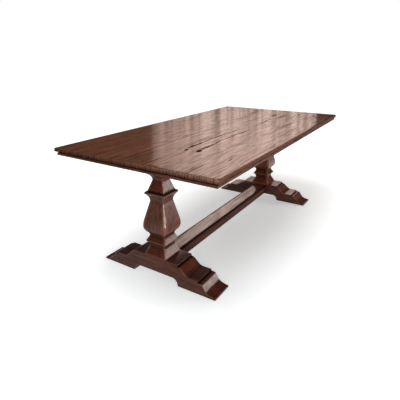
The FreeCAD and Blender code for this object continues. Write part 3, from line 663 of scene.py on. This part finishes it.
def makeStrip(name, node, outerHalf, outerFace, turn, material):
    size = rimStrip
    outline = drawOutline(size["outline"] + [size["outline"][0]])[:-1]
    outline = easeCorners(outline, size["ease"])
    line, gap = size["mitreLine"], size["ringGap"]
    places = stations(-(outerHalf - gap), outerHalf - gap, gap)
    plan = bothEnds([(outerHalf, line, 0.6), (outerHalf - line, 0.0, 0.3)], [(x, 0.0, 0.0) for x in places])
    low = plankTop["underside"] - size["height"]
    spin = Matrix.Rotation(turn, 3, "Z")
    rings, wearAndHighlight = [], []
    rub = [cornerTurn(outline, index) for index in range(len(outline))]
    for x, inset, extra in plan:
        isEnd = abs(x) > outerHalf - 2
        ring = []
        for depth, height in insetOutline(outline, inset) if inset else outline:
            along = math.copysign(abs(x) - (depth if isEnd else 0), x)
            ring.append(spin @ Vector((along, outerFace + depth, low + height)))
        rings.append(ring)
        wearAndHighlight.append([max(extra, value) for value in rub])
    # painted shadow on the cove under the slab, and painted shade in the hollow corners
    dark = [size["coveShadow"] if height > size["coveHeight"] and depth < size["coveDepth"] else value
            for (depth, height), value in zip(outline, bendMarksAlong(outline, True, 2.5))]
    strip = loft(name, rings, wearAndHighlight, [dark] * len(rings), material, (outerFace * 0.003, turn, 0))
    hand(strip, "edge_wood", node)


longHalf = plankTop["length"] / 2 - rimStrip["inset"]
shortHalf = plankTop["width"] / 2 - rimStrip["inset"]
makeStrip("stripFront", "edge_moulding_front", longHalf, -shortHalf, 0, wood["edgeStrip"])
makeStrip("stripBack", "edge_moulding_back", longHalf, -shortHalf, math.pi, wood["edgeStrip"])
makeStrip("stripLeft", "edge_moulding_left", shortHalf, -longHalf, -math.pi / 2, wood["endStrip"])
makeStrip("stripRight", "edge_moulding_right", shortHalf, -longHalf, math.pi / 2, wood["endStrip"])
print("edge strips mitred")


# square baluster: half width and height above the foot, then how wide its arris is at a height
baluster = {
    "stand": 131, "places": (-754, 754), "ease": 0.8, "deepen": 1.05, "wander": 0.25, "endBevel": 1.5,
    "outline": [
        (73, 0), (73, 5), (53, 47), (51, 53), (67, 81, "levelStart"),
        (67, 85), (53, 110), (51, 116), (59.83, 136, "levelStart"), (77.5, 176, "levelEnd"),
        (72, 218, "levelStart"), (47.5, 325), (69.5, 371, "levelStart"), (69.5, 381),
        (54, 397, "levelEnd"), (36, 450), (66, 492, "levelStart"), (66, 496), (73, 496), (73, 545),
    ],
    "arris": [(0, 3.6), (47, 3.4), (53, 2.6), (81, 3.8), (87, 3.8), (116, 2.8), (160, 4.5), (180, 10), (240, 10),
              (300, 6.0), (325, 3.0), (374, 2.2), (379, 2.2), (396, 2.2), (450, 2.2), (492, 2), (545, 2)],
    "crown": 0.8, "keenArris": 2.2, "arrisLine": 0.6,
}
leftX, rightX = baluster["places"]


def between(table, where):
    for (low, first), (high, second) in zip(table, table[1:]):
        if where <= high:
            return first + (second - first) * (where - low) / (high - low)
    return table[-1][1]


def makePost(name, node, middle):
    size = baluster
    outline = easeCorners(evenPoints(drawOutline(size["outline"]), 4, False), size["ease"], False)
    outline = [outline[0]] + outline + [outline[-1]]
    rings, wearAndHighlight = [], []
    # wear and painted highlight on the proud corners of the profile
    ridge = [min(1.0, value * 1.3) for value in bendMarksAlong(outline, False, 1.2, proud=True)]
    for index, (half, height) in enumerate(outline):
        if index in (0, len(outline) - 1):
            half -= size["endBevel"]
        else:
            half -= size["wander"] * ripple(height / 40, middle / 100, 1.7)
        wide = between(size["arris"], height)
        keen = min(wide, size["keenArris"])
        ring, rubbed = [], []
        for side in range(4):  # wide on every second arris only; every arris is painted lighter, as wear and painted highlight
            spin = Matrix.Rotation(side * math.pi / 2, 2)
            radius, before = (wide, keen) if side % 2 == 0 else (keen, wide)
            flat = half - radius
            first, final = before - half + size["arrisLine"], flat - size["arrisLine"]
            for step in range(9):
                ring.append(spin @ Vector((half, first + (final - first) * step / 8)))
                rubbed.append(max(ridge[index], 0.0 if 0 < step < 8 else 0.5))
            for step in range(7):
                along = step / 6
                bulge = 4 * along * (1 - along) * radius * size["crown"] / 100
                ring.append(spin @ Vector((half - radius * along + bulge, flat + radius * along + bulge)))
                rubbed.append(1.0)
        rings.append([(middle + point.x, point.y * size["deepen"], size["stand"] + height) for point in ring])
        wearAndHighlight.append(rubbed)
    # painted shade in the hollows of the profile
    shadeMarks = [[value] * len(rings[0]) for value in bendMarksAlong(outline, False, 6)]
    post = loft(name, rings, wearAndHighlight, shadeMarks, wood["postWood"], (0, middle * 0.004, 0))
    hand(post, "post_wood", node)


makePost("postLeft", "post_left", leftX)
makePost("postRight", "post_right", rightX)
print("posts shaped")


# sled foot: half of its side from the arch round the toe to the middle of the top
sledFoot = {
    "width": 150, "floor": 3, "ease": 1.5, "sideEase": 1.35,
    "halfOutline": [
        (0, 40), (123, 40), (160, 3, "plumbStart"), (160, 0), (406, 0), (406, 9), (395, 9.5), (383, 11.6),
        (371, 14.4), (361, 17.6), (352.5, 21.5), (346, 27), (340, 34.8), (324.5, 57.5), (311, 64, "plumbEnd"),
        (294, 64), (294, 74), (241, 74), (206, 88.6, "plumbStart"), (182, 108.7), (162, 116, "plumbEnd"),
        (158, 116), (158, 128), (0, 128),
    ],
    "boreFrom": 20, "rodSeat": (40, 60), "screwSeat": (20, 50, 57),
}


def makeFoot(name, node, middle, inward):
    size = sledFoot
    half = drawOutline(size["halfOutline"])
    outline = half[:-1] + [(-y, z) for y, z in reversed(half)][:-1]
    outline = easeCorners(evenPoints(outline, 6, True), size["ease"])
    outline = [(y, z + size["floor"]) for y, z in outline]
    foot = bar(name, outline, middle, size["width"] / 2, size["sideEase"], wood["footWood"],
               (middle * 0.003, middle * 0.002, 0), 25, topRub=0.2, endDarken=0.08)
    rodWidth, rodDepth = size["rodSeat"]
    screwWidth, screwDepth, screwInward = size["screwSeat"]
    cutHoles(foot, [
        (middle, 0, size["boreFrom"], size["floor"] + rodDepth, rodWidth),
        (middle + inward * screwInward, 0, size["boreFrom"], size["floor"] + screwDepth, screwWidth),
    ])
    # the level faces take the brighter copy: painted light
    refinish(foot, wood["footTopLitCopy"], lambda normal, spot: normal.z > 0.96)
    hand(foot, "foot_wood", node)


makeFoot("footLeft", "foot_left", leftX, 1)
makeFoot("footRight", "foot_right", rightX, -1)
print("feet shaped")


# stretcher between the feet
stretcherBar = {
    "halfLength": 679, "ease": 0.7, "endEase": 0.8,
    "outline": [(-64, 65), (64, 65), (64, 109), (49, 115), (49, 118), (-49, 118), (-49, 115), (-64, 109)],
}
stretcherOutline = easeCorners(evenPoints(stretcherBar["outline"], 5, True), stretcherBar["ease"])
stretcherPiece = bar("stretcherBar", stretcherOutline, 0, stretcherBar["halfLength"],
                     stretcherBar["endEase"], wood["stretcherWood"], (0.7, 0.2, 0), topRub=0.8, sideDarken=0.3)
# the sides and bevels take the lighter copy: painted light
refinish(stretcherPiece, wood["stretcherSideLitCopy"], lambda normal, spot: abs(normal.y) > 0.25)
hand(stretcherPiece, "stretcher_wood", "stretcher")
print("stretcher laid")


# rails across the underside: half width along X, height, tip height and run of the taper
crossRails = {
    "halfLength": 471, "upper": 738, "ease": 1.6, "sideEase": 1.3, "screwRow": 441, "screwSeat": (14, 718),
    "bearers": (60, 62, 32, 150), "batten": (35, 35, 20, 40),
}


def makeRail(name, node, middle, halfWidth, height, tip, taper):
    size = crossRails
    long, top = size["halfLength"], size["upper"]
    low = top - height
    outline = [(taper - long, low), (long - taper, low), (long, top - tip), (long, top), (-long, top),
               (-long, top - tip)]
    outline = easeCorners(evenPoints(outline, 12, True), size["ease"])
    rail = bar(name, outline, middle, halfWidth, size["sideEase"], wood["railWood"], (middle * 0.002, 0.3, 0), 30)
    across, deep = size["screwSeat"]
    cutHoles(rail, [(middle, side * size["screwRow"], low - 10, deep, across) for side in (-1, 1)])
    hand(rail, "frame_wood", node)


makeRail("bearerLeft", "bearer_left", leftX, *crossRails["bearers"])
makeRail("bearerRight", "bearer_right", rightX, *crossRails["bearers"])
makeRail("battenMiddle", "batten_middle", 0, *crossRails["batten"])
print("cross rails fitted")


# metal, felt and bare wood of the small parts
def plainSurface(name, first, second, scale, roughness, metallic, relief):
    material, tree, shader = newMaterial(name)
    place = addNode(tree, "ShaderNodeTexCoord").outputs["Object"]
    speckle = stretchedNoise(tree, place, scale, 4, 0.65)
    bump = addNode(tree, "ShaderNodeBump", Strength=relief, Distance=0.001, Height=speckle)
    for label, value in (
            ("Base Color", mixColour(tree, ramp(tree, speckle, 0.35, 0.68), first, second)), ("Metallic", metallic),
            ("Roughness", mathNode(tree, "MULTIPLY_ADD", speckle, 0.2, roughness - 0.1)),
            ("Normal", bump.outputs["Normal"])):
        feed(tree, value, shader.inputs[label])
    return material


smallFinishes = {
    "zincSteel": plainSurface("zincSteel", (0.48, 0.49, 0.50), (0.63, 0.63, 0.62), (210, 210, 210), 0.38, 1.0, 0.08),
    "felt": plainSurface("feltPad", (0.022, 0.019, 0.017), (0.045, 0.039, 0.035), (900, 900, 900), 0.95, 0.0, 0.5),
    "bareWood": plainSurface("bareBeech", (0.40, 0.25, 0.13), (0.52, 0.34, 0.19), (9, 260, 260), 0.6, 0.0, 0.2),
}


def dressNode(node, material):
    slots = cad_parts[node].data.materials
    slots.clear()
    slots.append(material)


for node in ("tie_rod_left", "tie_rod_right", "tie_rod_plates"):
    dressNode(node, smallFinishes["zincSteel"])
for side in ("left", "right"):
    for end in ("front", "back"):
        dressNode(f"mitre_key_{end}_{side}", smallFinishes["bareWood"])
for number in range(1, 5):
    dressNode(f"board_tongue_{number}", smallFinishes["bareWood"])
print("small parts finished")


# screws and nuts: each tree sets one turned shape on every place that comes in

def newPartTree(name, sizes):
    return newGroup(name, "GeometryNodeTree", {"Places": "Geometry", **sizes, "Finish": "Material"},
                    {"Geometry": "Geometry"})


def pickByIndex(tree, values):
    node = addNode(tree, "GeometryNodeIndexSwitch", {"data_type": "FLOAT"})
    while len(node.index_switch_items) < len(values):
        node.index_switch_items.new()
    feed(tree, addNode(tree, "GeometryNodeInputIndex").outputs[0], node.inputs[0])
    for socket, value in zip(list(node.inputs)[1:], values):
        feed(tree, value, socket)
    return node.outputs[0]


# a shape turned round Z, from rows of height and radius
def turnedShape(tree, rows, sides):
    heights, radii = (pickByIndex(tree, column) for column in zip(*rows))
    line = addNode(tree, "GeometryNodeMeshLine", Count=len(rows))
    girth = addNode(tree, "GeometryNodeStoreNamedAttribute", {"data_type": "FLOAT", "domain": "POINT"},
                    Name="girth", Geometry=line.outputs[0], Value=radii)
    spot = addNode(tree, "ShaderNodeCombineXYZ", Z=heights)
    raised = addNode(tree, "GeometryNodeSetPosition", Geometry=girth.outputs[0], Position=spot.outputs[0])
    axis = addNode(tree, "GeometryNodeMeshToCurve", Mesh=raised.outputs[0])
    circle = addNode(tree, "GeometryNodeCurvePrimitiveCircle", Resolution=sides, Radius=1.0)
    stored = addNode(tree, "GeometryNodeInputNamedAttribute", {"data_type": "FLOAT"}, Name="girth")
    turned = addNode(tree, "GeometryNodeCurveToMesh", Curve=axis.outputs[0], Scale=stored.outputs[0],
                     **{"Profile Curve": circle.outputs["Curve"], "Fill Caps": True})
    return turned.outputs[0]


def prism(tree, sides, radius, depth):
    return addNode(tree, "GeometryNodeMeshCylinder", Vertices=sides, Radius=radius, Depth=depth).outputs["Mesh"]


def carve(tree, operation, first, second):
    node = addNode(tree, "GeometryNodeMeshBoolean", {"operation": operation, "solver": "EXACT"})
    feed(tree, first, node.inputs["Mesh 1" if operation == "DIFFERENCE" else "Mesh 2"])
    feed(tree, second, node.inputs["Mesh 2"])
    return node.outputs["Mesh"]


def setOnPlaces(tree, given, result, shape):
    spread = addNode(tree, "GeometryNodeInstanceOnPoints", Points=given.outputs["Places"], Instance=shape)
    real = addNode(tree, "GeometryNodeRealizeInstances", Geometry=spread.outputs[0])
    finish = addNode(tree, "GeometryNodeSetMaterial", Geometry=real.outputs[0], Material=given.outputs["Finish"])
    feed(tree, finish.outputs[0], result.inputs[0])


def makeScrewTree():
    sizes = ("Head Width", "Head Height", "Shank Width", "Shank Length", "Chamfer", "Drive Width")
    tree, given, result = newPartTree("headedScrew", {**dict.fromkeys(sizes, "Float"), "Drive Sides": "Int"})
    chamfer, high = given.outputs["Chamfer"], given.outputs["Head Height"]
    head, shank, drive = (times(tree, given.outputs[label + " Width"], 0.5) for label in ("Head", "Shank", "Drive"))
    tip = mathNode(tree, "ADD", high, given.outputs["Shank Length"])
    shape = turnedShape(tree, [
        (0.0, mathNode(tree, "SUBTRACT", head, chamfer)),
        (times(tree, chamfer, 0.4), mathNode(tree, "SUBTRACT", head, times(tree, chamfer, 0.35))),
        (chamfer, head),
        (mathNode(tree, "SUBTRACT", high, 0.0001), head),
        (high, shank),
        (mathNode(tree, "SUBTRACT", tip, shank), shank),
        (tip, times(tree, shank, 0.2)),
    ], 32)
    socket = prism(tree, given.outputs["Drive Sides"], drive, high)
    setOnPlaces(tree, given, result, carve(tree, "DIFFERENCE", shape, socket))
    return tree


def makeNutTree():
    tree, given, result = newPartTree("hexagonNut", dict.fromkeys(("Flats", "Height", "Bore"), "Float"))
    high, flats = given.outputs["Height"], given.outputs["Flats"]
    corner = times(tree, flats, 1 / math.sqrt(3))
    lift = addNode(tree, "ShaderNodeCombineXYZ", Z=times(tree, high, 0.5))
    block = addNode(tree, "GeometryNodeTransform", Geometry=prism(tree, 6, corner, high), Translation=lift.outputs[0])
    face = times(tree, flats, 0.48)
    wide = times(tree, corner, 1.04)
    rise = times(tree, mathNode(tree, "SUBTRACT", wide, face), 0.55)
    chamfered = turnedShape(tree, [
        (0.0, face), (rise, wide), (mathNode(tree, "SUBTRACT", high, rise), wide), (high, face)], 48)
    shape = carve(tree, "INTERSECT", block.outputs[0], chamfered)
    bore = prism(tree, 32, times(tree, given.outputs["Bore"], 0.5), times(tree, high, 3.0))
    setOnPlaces(tree, given, result, carve(tree, "DIFFERENCE", shape, bore))
    return tree


# sizes in millimetres; each place is the middle of the lowest face
screwTree, nutTree = makeScrewTree(), makeNutTree()
hardware = {
    "frameScrews": {
        "tree": screwTree, "node": "frame_screws", "sides": 4,
        "places": [(x, side * crossRails["screwRow"], 714) for x in (leftX, 0, rightX) for side in (-1, 1)],
        "sizes": {"Head Width": 11, "Head Height": 4, "Shank Width": 6, "Shank Length": 34, "Chamfer": 1.4,
                  "Drive Width": 5.2},
    },
    "coachScrews": {
        "tree": screwTree, "node": "stretcher_screws", "sides": 6, "places": [(-697, 0, 49), (697, 0, 49)],
        "sizes": {"Head Width": 17, "Head Height": 4, "Shank Width": 8, "Shank Length": 40.5, "Chamfer": 1.2,
                  "Drive Width": 6.9},
    },
    "rodNuts": {
        "tree": nutTree, "node": "tie_rod_nuts", "places": [(x, 0, z) for x in (leftX, rightX) for z in (50, 719)],
        "sizes": {"Flats": 19, "Height": 10, "Bore": 12.1},
    },
}


def setHardware(name):
    size = hardware[name]
    mesh = bpy.data.meshes.new(name)
    mesh.from_pydata([Vector(place) * mm for place in size["places"]], [], [])
    piece = addObject(name, mesh)
    maker = piece.modifiers.new("maker", "NODES")
    maker.node_group = size["tree"]
    keys = {item.name: item.identifier for item in size["tree"].interface.items_tree if item.in_out == "INPUT"}
    for label, value in size["sizes"].items():
        maker[keys[label]] = float(value * mm)
    if "sides" in size:
        maker[keys["Drive Sides"]] = size["sides"]
    maker[keys["Finish"]] = smallFinishes["zincSteel"]
    settle(piece)
    piece.data.materials.pop(index=0)  # the empty slot of the bare places
    shape = bmesh.new()
    shape.from_mesh(piece.data)
    bmesh.ops.remove_doubles(shape, verts=shape.verts, dist=0.00001)
    bmesh.ops.recalc_face_normals(shape, faces=shape.faces)
    for face in shape.faces:
        face.smooth = True
    shape.to_mesh(piece.data)
    shape.free()
    piece.data.set_sharp_from_angle(angle=math.radians(32))
    hand(piece, "zinc_steel", size["node"])


for name in hardware:
    setHardware(name)
print("screws and nuts set")


# felt under each end of each foot
feltPad = {"half": (70, 118), "thick": 3, "corner": 6, "ease": 0.7, "middleY": 283, "fray": 0.3, "frayWave": 9}


def makePad(side, end, x, y):
    size = feltPad
    wide, long = size["half"]
    corner, ease, thick, wave = size["corner"], size["ease"], size["thick"], size["frayWave"]
    edge = []
    for turn, (towardsX, towardsY) in enumerate(((1, 1), (-1, 1), (-1, -1), (1, -1))):
        for step in range(7):
            angle = math.pi / 2 * (turn + step / 6)
            edge.append((towardsX * (wide - corner) + corner * math.cos(angle),
                         towardsY * (long - corner) + corner * math.sin(angle)))
    edge = evenPoints(edge, 12, True)
    frayed = [max(0.0, size["fray"] * (0.5 + noise.noise(Vector((a / wave, b / wave, x + y))))) for a, b in edge]
    rings = []
    for height, inset in ((0.0, ease), (ease, 0.0), (thick - ease, 0.0), (thick, ease / 2)):
        rings.append([(x + a * (1 - (inset + cut) / wide), y + b * (1 - (inset + cut) / long), height)
                      for (a, b), cut in zip(edge, frayed)])
    plain = [[0.0] * len(edge)] * len(rings)
    pad = loft(f"pad{side.title()}{end.title()}", rings, plain, plain, smallFinishes["felt"])
    hand(pad, "felt", f"glide_pad_{side}_{end}")


for side, x in (("left", leftX), ("right", rightX)):
    for end, y in (("front", -feltPad["middleY"]), ("back", feltPad["middleY"])):
        makePad(side, end, x, y)
print("felt pads glued on")


# floor: paper that takes the real shadow, with a glow dimmed in an oval under the table as a painted shadow, plain
# white farther out
paperFloor = {
    "half": 60, "middle": (0.30, -0.06, 0.0), "reach": (2.45, 1.38, 1.0), "inner": 0.13, "dim": 0.45,
    "paper": (0.785, 0.80, 0.807), "glow": (0.972, 1.0, 1.004),
}


def makeSheet(name, corners, material):
    mesh = bpy.data.meshes.new(name)
    mesh.from_pydata(corners, [], [(0, 1, 2, 3)])
    mesh.materials.append(material)
    return addObject(name, mesh)


def makeFloor():
    size = paperFloor
    material, tree, shader = newMaterial("whitePaper")
    tree.nodes.remove(shader)
    place = addNode(tree, "ShaderNodeTexCoord").outputs["Object"]
    oval = addNode(tree, "ShaderNodeMapping", {"vector_type": "TEXTURE"}, Vector=place, Location=size["middle"],
                   Scale=size["reach"])
    distance = addNode(tree, "ShaderNodeVectorMath", {"operation": "LENGTH"})
    feed(tree, oval.outputs[0], distance.inputs[0])
    # painted shadow: the glow is dim in the middle of the oval and full outside it
    spread = ramp(tree, distance.outputs["Value"], size["inner"], 1.0, size["dim"], 1.0)
    rays = addNode(tree, "ShaderNodeLightPath").outputs
    seen = mathNode(tree, "MAXIMUM", rays["Is Camera Ray"], rays["Is Glossy Ray"])
    seen = mathNode(tree, "MAXIMUM", seen, rays["Is Transmission Ray"])
    paper = addNode(tree, "ShaderNodeBsdfDiffuse", Color=(*size["paper"], 1))
    glow = addNode(tree, "ShaderNodeEmission", Color=(*size["glow"], 1), Strength=times(tree, seen, spread))
    both = addNode(tree, "ShaderNodeAddShader")
    feed(tree, paper.outputs[0], both.inputs[0])
    feed(tree, glow.outputs[0], both.inputs[1])
    feed(tree, both.outputs[0], tree.nodes["Material Output"].inputs["Surface"])
    half = size["half"]
    floor = makeSheet("floor", [(-half, -half, 0), (half, -half, 0), (half, half, 0), (-half, half, 0)], material)


# the room is dim, and white where the camera looks past the floor
def makeRoom():
    world = bpy.data.worlds.new("studio")
    scene.world = world
    world.use_nodes = True
    tree = world.node_tree
    rays = addNode(tree, "ShaderNodeLightPath").outputs
    seen = mathNode(tree, "MAXIMUM", rays["Is Camera Ray"], rays["Is Transmission Ray"])
    rise = partsOf(tree, addNode(tree, "ShaderNodeTexCoord").outputs["Generated"])["Z"]
    seen = mathNode(tree, "MAXIMUM", seen, times(tree, rays["Is Glossy Ray"], ramp(tree, rise, 0.04, 0.0)))
    colour = mixColour(tree, seen, (0.035, 0.035, 0.035), (1.0, 1.0, 1.0))
    feed(tree, colour, tree.nodes["Background"].inputs["Color"])


# lamps; flags keep the glare of two of them off the boards, and a card is turned on the posts only
boardNames = [f"board{index + 1}" for index in range(len(plankTop["boardWidths"]))]
lamps = {
    "overhead": {
        "at": (-0.65, 0.05, 3.1), "aim": (0.1, 0, 0.3), "size": (2.6, 2.2), "level": 3.7, "tint": (1, 1, 1),
    },
    "rightWindow": {
        "at": (2.55, -3.15, 0.85), "aim": (-0.4, 0, 0.5), "size": (1.5, 1.5), "level": 10.5,
        "tint": (1, 0.95, 0.92), "flagged": boardNames,
    },
    "frontBox": {
        "at": (-3.1, -3.0, 0.41), "aim": (-0.75, -0.07, 0.35), "size": (0.6, 0.68), "level": 49.0,
        "tint": (1, 0.96, 0.93),
    },
    "backFill": {
        "at": (-1.3, 2.7, 1.2), "aim": (-0.75, 0.2, 0.1), "size": (1.3, 1.0), "level": 2.6,
        "tint": (1, 0.97, 0.95), "flagged": boardNames,
    },
    "arrisCard": {
        "at": (-3.1, -3.0, 1.12), "aim": (-0.754, -0.07, 0.42), "size": (0.5, 0.8), "level": 32.0,
        "tint": (1, 0.96, 0.93), "only": ("postLeft", "postRight"),
    },
}
# hung paper behind the table, seen only in the varnish: its two lower corners, then heights and levels
hungPaper = {
    "left": (3.37, 3.50), "right": (4.85, 0.65), "low": 0.85, "high": 3.4, "folds": 26,
    "lowLevel": 1.42, "highLevel": 3.6, "leftLevel": 0.45, "tint": (1.0, 0.76, 0.66),
}


def makeHungPaper():
    size = hungPaper
    material, tree, shader = newMaterial("hungPaper")
    tree.nodes.remove(shader)
    place = addNode(tree, "ShaderNodeUVMap", {"uv_map": "paper"}).outputs[0]
    parts = partsOf(tree, place)
    folds = ramp(tree, stretchedNoise(tree, place, (size["folds"], 0.3, 1), 2, 0.6), 0.36, 0.60)
    rise = ramp(tree, parts["Y"], 0.15, 0.75, size["lowLevel"], size["highLevel"], smooth=False)
    shade = ramp(tree, parts["Y"], 0.2, 0.6, 0.75, 0.3, smooth=False)  # folds are deeper low down
    dip = times(tree, mathNode(tree, "SUBTRACT", 1.0, folds), shade)
    level = times(tree, rise, mathNode(tree, "SUBTRACT", 1.0, dip))
    level = times(tree, level, ramp(tree, parts["X"], 0.0, 0.4, size["leftLevel"], 1.0, smooth=False))
    glow = addNode(tree, "ShaderNodeEmission", Color=(*size["tint"], 1), Strength=level)
    feed(tree, glow.outputs[0], tree.nodes["Material Output"].inputs["Surface"])
    left, right, low, high = size["left"], size["right"], size["low"], size["high"]
    paper = makeSheet("hungPaper", [(*left, low), (*right, low), (*right, high), (*left, high)], material)
    spread = paper.data.uv_layers.new(name="paper")
    for corner, value in zip(spread.data, ((0, 0), (1, 0), (1, 1), (0, 1))):
        corner.uv = value
    paper.visible_camera = False


def makeLamps():
    for name, lamp in lamps.items():
        data = bpy.data.lights.new(name, "AREA")
        data.shape = "RECTANGLE"
        data.size, data.size_y = lamp["size"]
        data.color = lamp["tint"]
        data.energy = lamp["level"] * math.pi * data.size * data.size_y
        light = addObject(name, data)
        light.location = lamp["at"]
        light.rotation_euler = (Vector(lamp["aim"]) - Vector(lamp["at"])).to_track_quat("-Z", "Y").to_euler()
        light.visible_camera = False
        for key, state in (("flagged", "EXCLUDE"), ("only", "INCLUDE")):
            if key in lamp:
                picked = bpy.data.collections.new(name + "Pieces")
                for piece in lamp[key]:
                    picked.objects.link(bpy.data.objects[piece])
                light.light_linking.receiver_collection = picked
                for item in picked.collection_objects:
                    item.light_linking.link_state = state


# camera worked out from the corners of the top and feet
cameraSetup = {
    "at": (-2.38707, -1.30829, 1.28508), "yaw": 0.5676, "pitch": 0.1706, "roll": 0.0039,
    "lens": 33.898, "shiftY": -0.2,
}


def makeCamera():
    size = cameraSetup
    yaw, pitch, roll = size["yaw"], size["pitch"], size["roll"]
    ahead = Vector((math.cos(yaw) * math.cos(pitch), math.sin(yaw) * math.cos(pitch), -math.sin(pitch)))
    right = Vector((math.sin(yaw), -math.cos(yaw), 0))
    down = ahead.cross(right)
    across = right * math.cos(roll) + down * math.sin(roll)
    below = down * math.cos(roll) - right * math.sin(roll)
    data = bpy.data.cameras.new("camera")
    data.sensor_width, data.clip_end = 36, 200
    data.lens, data.shift_y = size["lens"], size["shiftY"]
    camera = addObject("camera", data)
    turned = Matrix((across, -below, -ahead)).transposed().to_4x4()
    camera.matrix_world = Matrix.Translation(Vector(size["at"])) @ turned
    scene.camera = camera


makeFloor()
makeRoom()
makeLamps()
makeHungPaper()
makeCamera()
print("studio set")
